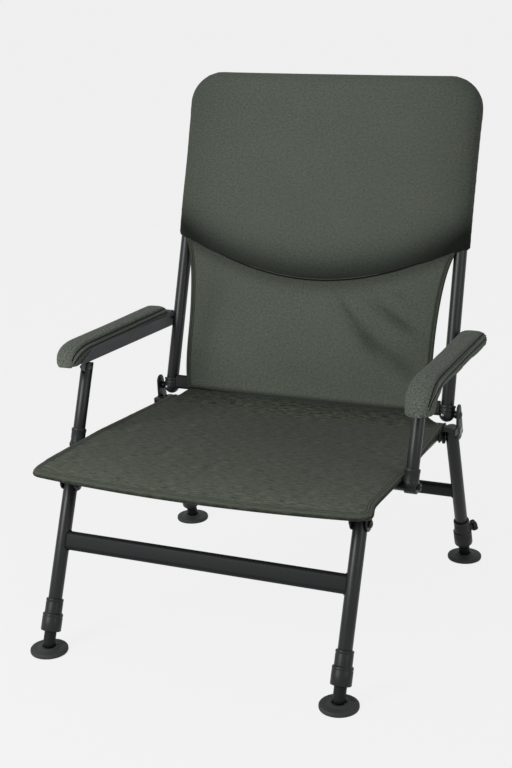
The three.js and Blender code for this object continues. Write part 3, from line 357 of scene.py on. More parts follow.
def noise(start, places, scale, detail=2.0, roughness=0.5):
    """Blender's noise over places that are first stretched by three scales. Its middle is near 0.5."""
    stretched = start.node("Mapping", {"vector_type": "POINT"}, {"Vector": places, "Scale": scale})
    values = {"Vector": stretched, "Scale": 1.0, "Detail": detail, "Roughness": roughness}
    return start.node("TexNoise", {"noise_dimensions": "3D"}, values)


def cloth(name):
    """A matt shader with a faint sheen for cloth, and the two measures of the cloth's own UV map."""
    finish, shader, start = surface(
        name, 0.9, Sheen_Weight=0.05, Sheen_Roughness=0.5, Specular_IOR_Level=0.12
    )
    places = start.node("TexCoord", {}, {}, "UV")
    first, second = (start.node("SeparateXYZ", {}, {"Vector": places}, axis) for axis in "XY")
    return finish, shader, start, places, first, second


thread_pitch, twill_pitch = 0.0011, 0.0034
# The near-black tone towards which painted shade darkens a cloth's colour.
painted_shade_tone = linear(22, 26, 21)


def woven(name, dark, light, slub, twill, grain, bolder=1.0, painted_shade=None):
    """Woven cloth. Its colour lies between two tones by the sum of long thread slubs, fine and coarse grain,
    diagonal twill ribs and a faint large mottle, each around zero. Its height is the ribs and the threads.
    Where a painted shade is given, it maps the cloth's own two measures to a share by which the colour
    darkens."""
    finish, shader, start, places, east, north = cloth(name)
    slubs = noise(start, places, (60, 560, 1), 3.0, 0.6) - 0.5
    grains = noise(start, places, (520, 620, 1), 2.0, 0.7) - 0.5
    knots = noise(start, places, (230, 300, 1), 1.0, 0.5) - 0.5
    mottle = noise(start, places, (7, 9, 1), 2.0) - 0.5
    ribs = start.math("SINE", (east - north) * (2 * math.pi / twill_pitch) + knots * 1.6)
    warp = start.math("SINE", east * (2 * math.pi / thread_pitch))
    weft = start.math("SINE", north * (2 * math.pi / thread_pitch))
    mask = (0.5 + slubs * slub + grains * grain + knots * grain + mottle * 0.12 + ribs * twill).within()
    nubs = (grains + knots) * (1.2 * bolder * grain)
    height = ribs * (1.5 * twill) + nubs + slubs * (1.5 * slub) + warp * weft * 0.2
    colour = tinted(start, mask, dark, light)
    if painted_shade:
        colour = tinted(start, painted_shade(start, east, north), colour, painted_shade_tone)
    feed(finish, shader, colour, height, depth=0.0006 * bolder, strength=0.7, roughness=0.97 - mask * 0.12)
    return finish


def painted_seat_shade(start, east, north):
    """The share of painted shade on the seat: it nears a limit by an exponential of the distance to the rear,
    where the backrest shades the cloth, and grows a little to the right. A painted shadow line lies where the
    cloth meets the backrest."""
    rear_shade_falloff = start.math("EXPONENT", (north - (front_feet + 0.05)) * (-1 / 0.17))
    line = (1 - (front_feet + 0.475 - north) * (1 / 0.034)).within()
    return ((1 - rear_shade_falloff) * 0.43 + east * 0.12).within() + line * 0.42


# The seat's colour is darkened by painted shade towards the rear and the right, with a painted shadow line at
# the backrest.
seat_cloth = woven("seat_cloth", linear(32, 38, 29), linear(110, 117, 104), slub=2.4, twill=0.02, grain=0.45,
                   painted_shade=painted_seat_shade)

shares = np.linspace(-1, 1, 121)
depths = np.concatenate([np.linspace(0, 0.12, 19), np.linspace(0.12, 1, 86)[1:]])
edge_inset = 0.0022
line = seat_front(shares * (seat_front_half - edge_inset)) + edge_inset
y = line[None] + depths[:, None] * (seat_rear_edge - line[None])
x = shares[None] * (seat_half(y) - edge_inset)
top = seat_top(x, y)
sheet_thickness = 0.0016
upper = np.stack([x, y + front_feet, top], -1)
seat_sheet = piece("seat_sheet", slab(upper, upper - [0, 0, sheet_thickness]))
unwrap(seat_sheet, lambda points: points[:, :2])
seat_sheet.data.materials.append(seat_cloth)
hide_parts("seat_fabric")
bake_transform(seat_sheet)


def run_along(path):
    """How far along a line each of its points lies."""
    return np.concatenate([[0], np.cumsum(np.linalg.norm(np.diff(path, axis=0), axis=1))])


def evened(path, spacing):
    """The same line with its points evenly spaced along its length."""
    path = np.asarray(path, float)
    along = run_along(path)
    steps = np.linspace(0, along[-1], max(int(along[-1] / spacing), 2) + 1)
    return np.stack([np.interp(steps, along, column) for column in path.T], -1)


stitch_length, stitch_share = 0.0032, 0.68
thread_half, groove_half, fold_width = 0.00035, 0.0011, 0.0026


def stitched(name, dark, light, rows):
    """Hem cloth. Its UV map runs along the hem and across it in metres. At each row of stitches, dashes of
    paler thread lie in a groove darkened by painted shade, each dash a share of the stitch length. The folded
    edge is darker."""
    finish, shader, start, places, along, across = cloth(name)
    grains = noise(start, places, (600, 620, 1), 2.0, 0.7) - 0.5
    slubs = noise(start, places, (70, 500, 1), 2.0) - 0.5
    dash = start.math("LESS_THAN", start.math("FRACT", along * (1 / stitch_length)), stitch_share)
    thread, groove = 0.0, 0.0
    for row in rows:
        off = start.math("ABSOLUTE", across - row)
        thread = thread + start.math("LESS_THAN", off, thread_half) * dash
        groove = groove + (1 - off * (1 / groove_half)).within()
    fold_line = (1 - across * (1 / fold_width)).within()
    # The groove term darkens the colour as painted shade in the stitch grooves.
    mask = (0.5 + grains * 0.6 + slubs * 0.5 - groove * 0.55 + thread * 0.85 - fold_line * 0.45).within()
    height = grains * 0.8 + slubs * 0.5 - groove * 1.2 + thread * 1.4
    feed(finish, shader, tinted(start, mask, dark, light), height, depth=0.0005, strength=0.7)
    return finish


def hem_map(along, profile):
    """The places on a hem: how far along it, and how far across it by its profile."""
    return np.stack(np.broadcast_arrays(along[:, None], profile[None, :, 0]), -1).reshape(-1, 2)


hem_cloth = stitched("hem_cloth", linear(30, 34, 28), linear(104, 110, 98), (0.0063, 0.0103))


turn = np.linspace(0, np.pi / 2, 12)
corner_x = seat_front_half - seat_corner * (1 - np.cos(turn))
front_x = np.concatenate([-corner_x, np.linspace(-corner_x[-1], corner_x[-1], 60)[1:-1], corner_x[::-1]])
side_y = np.linspace(seat_rear_edge, seat_front(seat_front_half), 60)[:-1]
left_side = np.stack([-seat_half(side_y), side_y], -1)
outline = np.concatenate([left_side, np.stack([front_x, seat_front(front_x)], -1), left_side[::-1] * [-1, 1]])
outline = evened(outline, 0.0035)
travel = np.gradient(outline, axis=0)
travel /= np.linalg.norm(travel, axis=1, keepdims=True)
inward = np.stack([-travel[:, 1], travel[:, 0]], -1)
seat_hem_profile = np.array(
    [
        (0.0132, -0.0004), (0.0129, 0.0005), (0.0120, 0.0009), (0.0111, 0.0009), (0.0103, 0.0004),
        (0.0095, 0.0010), (0.0080, 0.0012), (0.0070, 0.0010), (0.0063, 0.0004), (0.0056, 0.0009),
        (0.0042, 0.0008), (0.0027, 0.0003), (0.0014, -0.0006), (0.0005, -0.0017), (0.0, -0.0031),
        (0.0004, -0.0046), (0.0014, -0.0057), (0.0030, -0.0063), (0.0090, -0.0065), (0.0170, -0.0065),
        (0.0174, -0.0062), (0.0170, -0.0060), (0.0090, -0.0060), (0.0036, -0.0058), (0.0027, -0.0048),
        (0.0027, -0.0030), (0.0034, -0.0021), (0.0128, -0.0019),
    ]
)
ripple = 0.00025 * np.sin(np.arange(len(outline)) * 0.9) * np.sin(np.arange(len(outline)) * 0.13)
x = outline[:, :1] + seat_hem_profile[:, 0] * inward[:, :1]
y = outline[:, 1:] + seat_hem_profile[:, 0] * inward[:, 1:]
base = seat_top(x, np.maximum(y, seat_front(np.clip(x, -seat_front_half, seat_front_half))))
fold = np.where(seat_hem_profile[:, 1] > 0, 1, 0)
z = base + seat_hem_profile[:, 1] + ripple[:, None] * fold
seat_hem = piece("seat_hem", skin(np.stack([x, y + front_feet, z], -1)), crease=50)
unwrap(seat_hem, lambda points: hem_map(run_along(outline), seat_hem_profile))
fit(seat_hem, "seat_frame", hem_cloth, "sheet_cloth")


# Hem bars: flat strips of plated spring steel inside the hem. They are thin flat plates in the CAD, so they
# stay, with a brushed zinc finish that the rear leg bolts, the arm pins and the collar rivets share.
def plated(name, tone):
    """Zinc plate: a bright metal whose roughness follows fine brushing and cloudy patches."""
    finish, shader, start = surface(name, 0.35, Metallic=0.9)
    places = start.node("TexCoord", {}, {}, "Object")
    clouds = noise(start, places, (60, 60, 60), 3.0)
    brush = noise(start, places, (1500, 90, 1500), 2.0)
    dark = tuple(channel * 0.6 for channel in tone[:3]) + (1,)
    colour = tinted(start, (clouds * 0.8 + brush * 0.3).within(), dark, tone)
    shine = 0.22 + clouds * 0.2 + brush * 0.1
    feed(finish, shader, colour, brush, depth=0.00005, strength=0.3, roughness=shine)
    return finish


zinc = plated("bright_zinc", linear(150, 152, 154))
for side in ("left", "right", "front"):
    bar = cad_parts["hem_bar_" + side]
    bar.data.materials.clear()
    bar.data.materials.append(zinc)


# Seat rails and cross tubes: 22 mm and 20 mm round steel tube, welded into a frame and powder coated a satin
# charcoal. Flat tabs welded under the rails' outer sides carry the hem bars, and plugs close the front ends.
def coated(name, dark, light, roughness, metallic, gloss=0.22):
    """Powder coat: a dark satin paint with orange-peel bumps, soft patches of gloss, and faint dust."""
    finish, shader, start = surface(name, roughness, Metallic=metallic, Specular_IOR_Level=gloss)
    places = start.node("TexCoord", {}, {}, "Object")
    peel = noise(start, places, (900, 900, 900), 2.0)
    patches = noise(start, places, (14, 14, 14), 3.0)
    specks = noise(start, places, (260, 260, 260), 4.0, 0.75)
    dust = ((specks - 0.56) * 5).within()
    colour = tinted(start, (patches * 0.7 + dust * 0.35).within(), dark, light)
    shine = roughness - 0.06 + patches * 0.12 + dust * 0.15
    feed(finish, shader, colour, peel, depth=0.00008, strength=0.25, roughness=shine)
    return finish


tube_paint = coated("tube_paint", linear(17, 18, 19), linear(34, 36, 37), 0.36, 0.0, 0.3)


def circle(count=32):
    """Points of a circle of radius one, as (first, second) pairs."""
    turn = np.linspace(0, 2 * np.pi, count, endpoint=False)
    return np.stack([np.cos(turn), np.sin(turn)], -1)


def tube(path, radius, across=(1, 0, 0), rounding=0.0015):
    """A round tube along a path. Its circle shrinks over the rounding at both ends, so the rims are soft."""
    path = np.asarray(path, float)
    first, last = path[1] - path[0], path[-2] - path[-1]
    insets = np.array([[0], [0.3], [1]]) * rounding
    starts = path[0] + first / np.linalg.norm(first) * insets
    ends = path[-1] + last / np.linalg.norm(last) * insets[::-1]
    points = np.concatenate([starts, path[1:-1], ends])
    radii = np.full(len(points), radius)
    radii[[0, -1]] -= rounding
    radii[[1, -2]] -= 0.29 * rounding
    return carried(points, circle()[None] * radii[:, None, None], across)


def capsule(low, low_radius, high, high_radius, steps=16):
    """A flat outline with two round ends, as arcs about two centres whose common tangents join them."""
    low, high = np.asarray(low, float), np.asarray(high, float)
    lean = math.atan2(*(high - low)[::-1])
    spread = math.acos((low_radius - high_radius) / np.linalg.norm(high - low))
    upper = lean + np.linspace(-spread, spread, steps)
    lower = lean + np.linspace(spread, 2 * math.pi - spread, steps)
    arc = lambda centre, radius, turn: centre + radius * np.stack([np.cos(turn), np.sin(turn)], -1)
    return np.concatenate([arc(high, high_radius, upper), arc(low, low_radius, lower)])


def rounded(corners, radius, steps=6):
    """A convex outline whose corners, named anticlockwise, are replaced by arcs of one radius."""
    corners = np.asarray(corners, float)
    before, after = np.roll(corners, 1, 0) - corners, np.roll(corners, -1, 0) - corners
    before /= np.linalg.norm(before, axis=1, keepdims=True)
    after /= np.linalg.norm(after, axis=1, keepdims=True)
    half = np.arccos(np.clip((before * after).sum(1), -1, 1)) / 2
    bisector = before + after
    bisector /= np.linalg.norm(bisector, axis=1, keepdims=True)
    centres = corners + bisector * (radius / np.sin(half))[:, None]
    middle = np.arctan2(-bisector[:, 1], -bisector[:, 0])
    turn = middle[:, None] + np.linspace(-1, 1, steps)[None] * (np.pi / 2 - half)[:, None]
    return (centres[:, None] + radius * np.stack([np.cos(turn), np.sin(turn)], -1)).reshape(-1, 2)


def plate(outline, low_x, high_x, edge=0.0008, steps=4):
    """A plate square to X: an outline of (y, z) pairs, drawn in along its normals by a quarter circle at each
    face."""
    step = np.roll(outline, -1, 0) - np.roll(outline, 1, 0)
    step /= np.linalg.norm(step, axis=1, keepdims=True)
    inside = np.stack([-step[:, 1], step[:, 0]], -1)
    turn = np.linspace(0, np.pi / 2, steps)
    insets = edge * np.concatenate([1 - np.sin(turn), (1 - np.sin(turn))[::-1]])
    places = np.concatenate([low_x + edge * (1 - np.cos(turn)), high_x - edge * (1 - np.cos(turn))[::-1]])
    flat = outline[None] + insets[:, None, None] * inside[None]
    return skin(np.concatenate([np.broadcast_to(places[:, None, None], (*flat.shape[:2], 1)), flat], -1))


def block(low_y, high_y, low_z, high_z, radius=0.001):
    """A rectangle in the side view with round corners. Its y is counted from the middle of the front feet."""
    corners = [(low_y, low_z), (high_y, low_z), (high_y, high_z), (low_y, high_z)]
    return rounded([(y + front_feet, z) for y, z in corners], radius)


rail_half, rail_radius, cross_radius = 0.2439, 0.011, 0.01
rail_drop = 0.0186
front_tube_y, rear_tube_y = 0.136, 0.468
ear_inner = 0.2539
tab_depth, tab_half = 0.004, 0.01


def rail_centre(y):
    """The height of the rails' axes, a fixed drop under the seat's plane."""
    return seat_plane(y) - rail_drop


def rail_part(side, stations, radius):
    """A round bar on a rail's axis, through the given distances behind the front feet."""
    return tube([(side * rail_half, y + front_feet, rail_centre(y)) for y in stations], radius)


for name, side in (("left", -1), ("right", 1)):
    rail = rail_part(side, (0.082, 0.2, 0.4577), rail_radius)
    plug = rail_part(side, (0.0795, 0.083, 0.09), rail_radius - 0.0016)
    tabs = []
    for y in (front_tube_y + 0.028, 0.402):
        reach = seat_half(y) - 0.0059
        height = seat_top(reach, y) - 0.0068
        ends = sorted((side * (rail_half + 0.005), side * reach))
        tabs.append(plate(block(y - tab_half, y + tab_half, height - tab_depth, height, 0.0012), *ends))
    rail_piece = piece("rail_" + name, rail, plug, *tabs)
    fit(rail_piece, "seat_frame", tube_paint, "tube_paint", "seat_rail_" + name)


def weld(centre, axis, radius, bead=0.0016):
    """A weld bead: a small circle carried round a ring about an axis, its thickness rippled."""
    axis = Vector(axis).normalized()
    first = np.array(axis.orthogonal().normalized())
    second = np.cross(axis, first)
    turn = np.linspace(0, 2 * np.pi, 48, endpoint=False)
    path = np.asarray(centre) + radius * (np.cos(turn)[:, None] * first + np.sin(turn)[:, None] * second)
    swell = bead * (1 + 0.18 * np.sin(turn * 17))
    return carried(path, circle(10)[None] * swell[:, None, None], tuple(axis), ring=True)


bead_x = rail_half - rail_radius - 0.0004
for name, y, half in (("front", front_tube_y, rail_half - 0.006), ("rear", rear_tube_y, ear_inner - 0.0003)):
    middle = np.array((0, y + front_feet, rail_centre(y)))
    cross_tube = tube([middle + (x, 0, 0) for x in (-half, 0, half)], cross_radius, across=(0, 1, 0))
    welded_sides = (-1, 1) if name == "front" else ()
    beads = [weld(middle + (side * bead_x, 0, 0), (1, 0, 0), cross_radius) for side in welded_sides]
    tube_piece = piece("cross_tube_" + name, cross_tube, *beads)
    fit(tube_piece, "seat_frame", tube_paint, "tube_paint", "seat_" + name + "_tube")


# Hinge brackets: black glass-filled nylon. A capsule-shaped outer plate, a bridge under the seat's rear
# corner and an inner ear hold the recline pin above and the rear leg's bolt below.
def moulded(name, dark, light, roughness, pitch=700):
    """Moulded plastic: a fine spark-eroded grain, faint flow marks and a little dust."""
    finish, shader, start = surface(name, roughness, Specular_IOR_Level=0.22)
    places = start.node("TexCoord", {}, {}, "Object")
    grain = noise(start, places, (pitch, pitch, pitch), 3.0, 0.65)
    flow = noise(start, places, (18, 18, 26), 3.0)
    colour = tinted(start, (flow * 0.8 + grain * 0.25 - 0.05).within(), dark, light)
    shine = roughness - 0.08 + grain * 0.16
    feed(finish, shader, colour, grain, depth=0.0001, strength=0.35, roughness=shine)
    return finish


black_nylon = moulded("black_nylon", linear(19, 20, 21), linear(41, 43, 43), 0.42)
leg_pivot_y, leg_pivot_z = 0.489, 0.269
plate_inner, plate_outer = 0.28, 0.284
bridge_top = seat_plane(rear_tube_y) - 0.0035
bridge_front = rear_tube_y - 0.01
plate_low = (leg_pivot_y + 0.0003 + front_feet, leg_pivot_z)
plate_high = (leg_pivot_y - 0.0055 + front_feet, leg_pivot_z + 0.037)
ear_outer = 0.2567
for name, side in (("left", -1), ("right", 1)):
    span = lambda low, high: sorted((side * low, side * high))
    outer = capsule(plate_low, 0.0155, plate_high, 0.011, 24)
    rim = capsule(plate_low, 0.0128, plate_high, 0.0083, 24)
    web = block(bridge_front, leg_pivot_y, bridge_top - 0.0114, bridge_top)
    bridge = block(bridge_front, leg_pivot_y - 0.015, bridge_top - 0.0044, bridge_top)
    ear_low = (leg_pivot_y + front_feet, leg_pivot_z - 0.015)
    ear = capsule(ear_low, 0.011, (leg_pivot_y + front_feet, leg_pivot_z), 0.0107, 20)
    ear_front = block(bridge_front, leg_pivot_y, rail_centre(rear_tube_y) - 0.01, bridge_top)
    bracket = piece(
        "hinge_plate_" + name,
        plate(outer, *span(plate_inner, plate_outer - 0.0006), 0.0012),
        plate(rim, *span(plate_inner + 0.001, plate_outer), 0.0006),
        plate(web, *span(plate_inner, plate_outer - 0.0008)),
        plate(bridge, *span(ear_inner, plate_outer - 0.001)),
        plate(ear, *span(ear_inner, ear_outer), 0.0006),
        plate(ear_front, *span(ear_inner, ear_outer), 0.0006),
    )
    fit(bracket, "seat_frame", black_nylon, "black_plastic", "hinge_bracket_" + name)


# Bolts, pins and straps: button heads with a hexagonal socket on the outside, each turned about its own axis
# across the chair. The rear legs' bolts are zinc plated. The recline pins, the front legs' bolts and their
# saddle straps are blackened steel, and the straps are bent plates that stay as the CAD has them.
def turned(profile, count=40, lobes=0, swing=0.0, hexed=0):
    """A body of revolution about Z. Its profile lists (radius, height) pairs. The rim may wave in lobes by a
    share of the radius, and the last hexed rows are drawn out to a hexagon."""
    radius, height = np.asarray(profile, float).T
    turn = np.linspace(0, 2 * np.pi, count, endpoint=False)
    factor = np.ones((len(radius), count)) * (1 - swing + swing * np.cos(lobes * turn))
    if hexed:
        factor[-hexed:] = math.cos(math.pi / 6) / np.cos((turn % (math.pi / 3)) - math.pi / 6)
    rows = radius[:, None] * factor
    around = (rows * np.cos(turn), rows * np.sin(turn), np.broadcast_to(height[:, None], rows.shape))
    return skin(np.stack(around, -1))


def moved(points, matrix):
    """Points, turned and moved by a matrix."""
    matrix = np.array(matrix)
    return points @ matrix[:3, :3].T + matrix[:3, 3]


def placed(shape, matrix):
    """The same shape, turned and moved by a matrix."""
    return moved(shape[0], matrix), shape[1]


def button(radius, height, shank, start):
    """A bolt's head and shank along Z: a shank from the start up to zero, a domed head and a hexagonal
    recess."""
    turn = np.linspace(0, np.pi / 2 * 0.72, 7)
    lift = 0.18 + 0.82 * np.sin(turn) / np.sin(turn[-1])
    crown = np.stack([radius * (0.45 + 0.55 * np.cos(turn)) - 0.0001, height * lift], -1)
    flat = crown[-1][0]
    recess = [(flat * 0.72, height), (flat * 0.68, height * 0.94), (flat * 0.64, height * 0.3)]
    under = [(shank, start), (shank, 0), (radius - 0.0003, 0), (radius, height * 0.1)]
    return turned([*under, *crown, *recess], hexed=3)


def across(side, x, y, z):
    """The frame of something turned about an axis across the chair: its Z points outwards on the given side.
    The place is counted from the middle of the front feet."""
    return Matrix.Translation((side * x, y + front_feet, z)) @ Matrix.Rotation(side * math.pi / 2, 4, "Y")


head_radius, head_height, shank_radius, nut_depth = 0.0065, 0.0026, 0.004, 0.001


def bolt(name, side, outer_x, inner_x, y, z, length):
    """A bolt across the chair: its head and shank at the outer place, and its nut's head at the inner one."""
    head = placed(button(head_radius, head_height, shank_radius, -length), across(side, outer_x, y, z))
    nut = placed(button(head_radius, head_height, shank_radius, -nut_depth), across(-side, -inner_x, y, z))
    return piece(name, head, nut)


black_steel = coated("black_steel", linear(18, 19, 20), linear(40, 42, 43), 0.36, 0.3)
recline_y, recline_z = 0.4873, 0.297
front_pivot_y, front_pivot_z = 0.0979, 0.249542
seat_gap = 0.0003
strap_outer = rail_radius + 0.0026
strap_reach = strap_outer + 0.0013
recline_head = button(head_radius, 0.0013, 0.003, -0.038)
spacer_x, spacer = 0.2738, turned([(0.0058, 0), (0.0065, 0.0006), (0.0065, 0.0053), (0.0058, 0.0059)])
for name, side in (("left", -1), ("right", 1)):
    leg_bolt = bolt("leg_bolt_rear_" + name, side, plate_outer + seat_gap, ear_inner - seat_gap,
                    leg_pivot_y, leg_pivot_z, 0.0305)
    fit(leg_bolt, "seat_frame", zinc, "zinc_steel", "rear_leg_bolt_" + name)
    recline = piece(
        "recline_pin_" + name,
        placed(recline_head, across(side, plate_outer + seat_gap, recline_y, recline_z)),
        placed(spacer, across(side, spacer_x, recline_y, recline_z)),
    )
    fit(recline, "seat_frame", black_steel, "black_plastic", "recline_bolt_" + name)
    front_bolt = bolt("leg_bolt_front_" + name, side, rail_half + strap_reach, rail_half - strap_reach,
                      front_pivot_y, front_pivot_z, 2 * strap_outer)
    fit(front_bolt, "seat_frame", black_steel, "black_plastic", "front_leg_bolt_" + name)
    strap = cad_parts["front_bracket_" + name]
    strap.data.materials.clear()
    strap.data.materials.append(black_steel)


# Backrest tube: a 22 mm steel tube bent to an upside-down U, painted like the frame. Nylon collars close its
# lower ends round the recline pins, and a flat oval bar joins the collars.
recline_angle = math.radians(17.6)
recline_axis = Matrix.Translation((0, recline_y + front_feet, recline_z))
back_frame = recline_axis @ Matrix.Rotation(-recline_angle, 4, "X")
bar_paint = coated("bar_paint", linear(17, 18, 19), linear(32, 34, 35), 0.5, 0.0, 0.14)
bend_radius, upright_top = 0.045, 0.5135


def upright_x(height):
    """Half the distance between the uprights, which lean together a little towards the top."""
    return 0.26 - 0.0065 * height / 0.56


turn = np.linspace(0, np.pi / 2, 14)
start_x = upright_x(upright_top)
left_leg = [(-upright_x(height), 0, height) for height in (-0.0057, 0.12, 0.25, 0.38, 0.5)]
left_bend = np.stack(
    [-start_x + bend_radius * (1 - np.cos(turn)), 0 * turn, upright_top + bend_radius * np.sin(turn)], -1
)
left_half = np.concatenate([left_leg, left_bend])
bow_path = np.concatenate([left_half, left_half[::-1] * [-1, 1, 1]])
back_tube = piece("backrest_tube", placed(tube(bow_path, rail_radius, across=(0, 1, 0)), back_frame))
fit(back_tube, "back", tube_paint, "tube_paint", "back_tube")

ball_turn = np.linspace(-np.pi / 2 * 0.94, 0, 9)
collar_profile = [
    *((0.0135 * np.cos(t), 0.0135 * np.sin(t)) for t in ball_turn), (0.0135, 0.0022), (0.0129, 0.0027),
    (0.0129, 0.0036), (0.0137, 0.0042), (0.0137, 0.0093), (0.0131, 0.0098), (0.0131, 0.0104),
    (0.0142, 0.0110), (0.0143, 0.0133), (0.0138, 0.0143), (0.0126, 0.0148), (0.0112, 0.0148),
]
for name, side in (("left", -1), ("right", 1)):
    seat_of = back_frame @ Matrix.Translation((side * 0.26, 0, 0))
    rivet = placed(
        turned([(0.0016, -0.003), (0.0026, 0), (0.0025, 0.0006), (0.0018, 0.0012), (0.0006, 0.0014)]),
        seat_of @ Matrix.Translation((-0.004, -0.0131, -0.003)) @ Matrix.Rotation(math.radians(98), 4, "X"),
    )
    collar = piece("back_collar_" + name, placed(turned(collar_profile, 48), seat_of))
    fit(collar, "back", black_nylon, "black_plastic", "back_socket_" + name)
    fit(piece("collar_rivet_" + name, rivet), "back", zinc, "zinc_steel")

oval = capsule((0, -0.0085), 0.004, (0, 0.0085), 0.004, 16)
back_bar = carried([(x, -0.0055, 0.0085) for x in (-0.2485, 0, 0.2485)], oval, (0, 0, 1))
fit(piece("back_flat_bar", placed(back_bar, back_frame)), "back", bar_paint, "bar_paint", "back_cross_bar")


# Lumbar panel: a single sheet of the same cloth as the seat in a finer twill, sewn under the head pad above
# and slotted over the flat bar below. Its curved sides are hemmed, and loose cloth creases towards the right.
seam_low, seam_rise, seam_half = 0.206, 0.07, 0.251


def seam_shade(reach, deepest, direction, folds=()):
    """The share of painted shade by which cloth darkens next to the head pad's seam: largest at the seam, and
    falling off by a bell of the given reach on the side that the direction, 1 for above or -1 for below,
    names.
    Painted shade towards the sides adds a fourth power, a painted shadow along the lower edge a straight
    ramp, and painted shade in each fold a product of two bells."""

    def share(start, east, north):
        side = start.math("ABSOLUTE", east)
        seam = seam_low + (side * (1 / seam_half)) ** 2 * seam_rise
        off = (north - seam) * (direction / reach)
        bell = start.math("EXPONENT", off * off * start.math("SIGN", off) * -1).within() * deepest
        share = bell + (side * (1 / 0.27)) ** 4 * 0.35 + (1 - north * (1 / 0.008)).within() * 0.75
        for middle, lean, length, width, deep in folds:
            along = (east - middle[0]) * math.cos(lean) + (north - middle[1]) * math.sin(lean)
            off = (north - middle[1]) * math.cos(lean) - (east - middle[0]) * math.sin(lean)
            far = (along * (1 / length)) * (along * (1 / length)) + (off * (1 / width)) * (off * (1 / width))
            share = share + start.math("EXPONENT", far * -1) * deep
        return share.within()

    return share


# Painted shade in the panel's creases: for each fold its middle, lean, length, width and depth of shade.
painted_fold_shades = (
    ((0.112, 0.112), math.radians(-44), 0.040, 0.014, 0.44),
    ((0.072, 0.158), math.radians(-50), 0.034, 0.006, 0.24),
    ((0.160, 0.150), math.radians(-32), 0.045, 0.010, 0.36),
    ((0.170, 0.080), math.radians(-40), 0.045, 0.014, 0.28),
    ((-0.195, 0.120), math.radians(84), 0.090, 0.024, 0.18),
)
# The panel's cloth is darkened by painted shade under the seam, towards its sides, along its lower edge and
# in its folds.
back_cloth = woven("back_cloth", linear(48, 54, 46), linear(110, 117, 107), slub=0.22, twill=0.14, grain=0.6,
                   painted_shade=seam_shade(reach=0.016, deepest=0.4, direction=-1, folds=painted_fold_shades))
side_hem_cloth = stitched("side_hem_cloth", linear(30, 34, 28), linear(78, 84, 74), (0.0058,))
panel_bottom = -0.002


def seam_height(x):
    """The height of the head pad's lower seam: a parabola that rises to the sides."""
    return seam_low + seam_rise * np.minimum(np.abs(x) / seam_half, 1) ** 2


waist_height, waist_half, foot_half = 0.105, 0.2305, 0.222


def panel_half(height):
    """Half the panel's width: a waist that narrows by a cube downwards, and widens by a square upwards and by
    a sixth power where the top corners reach out to the tubes."""
    low = np.clip((waist_height - height) / waist_height, 0, 1)
    high = np.clip((height - waist_height) / (seam_low + seam_rise - waist_height), 0, 1)
    return waist_half - (waist_half - foot_half) * low**3 + 0.0155 * high**2 + 0.009 * high**6


def panel_bottom_at(x):
    """The panel's lower edge: a cubic that rises a little to the left."""
    return panel_bottom - 0.0015 - 0.0035 * (x / foot_half) ** 3


def crease_line(x, z, start, end, width, depth):
    """A fold: a bell-shaped furrow along a line between two points, which fades at both its ends."""
    start, end = np.array(start), np.array(end)
    run = end - start
    length = np.linalg.norm(run)
    along = ((x - start[0]) * run[0] + (z - start[1]) * run[1]) / length**2
    off = ((x - start[0]) * run[1] - (z - start[1]) * run[0]) / length
    fade = ease((along + 0.15) / 0.4) * ease((1.15 - along) / 0.4)
    return depth * fade * np.exp(-((off / width) ** 2))


panel_creases = [
    ((0.055, 0.168), (0.150, 0.078), 0.0085, -0.0040),
    ((0.085, 0.180), (0.185, 0.098), 0.0070, 0.0032),
    ((0.110, 0.178), (0.200, 0.125), 0.0060, -0.0034),
    ((0.150, 0.196), (0.205, 0.160), 0.0045, -0.0026),
    ((0.095, 0.100), (0.170, 0.045), 0.0090, -0.0026),
    ((0.130, 0.118), (0.205, 0.062), 0.0080, 0.0026),
    ((0.158, 0.199), (0.166, 0.186), 0.0018, -0.0022),
    ((-0.20, 0.215), (-0.13, 0.150), 0.0100, 0.0012),
    ((-0.05, 0.045), (0.06, 0.022), 0.0120, -0.0010),
]


def panel_front(x, z):
    """How far the panel's face stands in front of the tubes' plane: a low crown, and the sum of the folds."""
    share = np.clip(x / panel_half(z), -1, 1)
    rise = np.clip((z - panel_bottom_at(x)) / (seam_height(x) - panel_bottom_at(x)), 0, 1)
    crown = 0.003 * (1 - share**4) * np.sin(np.pi * rise) ** 2
    inside = ease((1 - np.abs(share)) / 0.08) * ease(rise / 0.06)
    return 0.0136 + crown + inside * sum(crease_line(x, z, *crease) for crease in panel_creases)


shares = np.linspace(-1, 1, 181)
steps = np.linspace(0, 1, 121)
hem_inset = 0.002
tops = np.full(len(shares), seam_low)
for settle in range(6):
    tops = seam_height(shares * (panel_half(tops) - hem_inset)) + 0.006
bottoms = panel_bottom_at(shares * panel_half(panel_bottom))
z = bottoms + steps[:, None] * (tops - bottoms)
x = shares[None] * (panel_half(z) - hem_inset)
front = np.stack([x, -panel_front(x, z), z], -1)
panel_thickness = 0.0013
rear_skin = front + [0, panel_thickness, 0]
lumbar = piece("lumbar_panel", placed(slab(front, rear_skin), back_frame))


def on_back(points):
    """Places on the cloth of the backrest: its first and third measures in the backrest's own frame."""
    return moved(points, back_frame.inverted())[:, [0, 2]]


unwrap(lumbar, on_back)
fit(lumbar, "back", back_cloth, "sheet_cloth", "back_lower_panel")

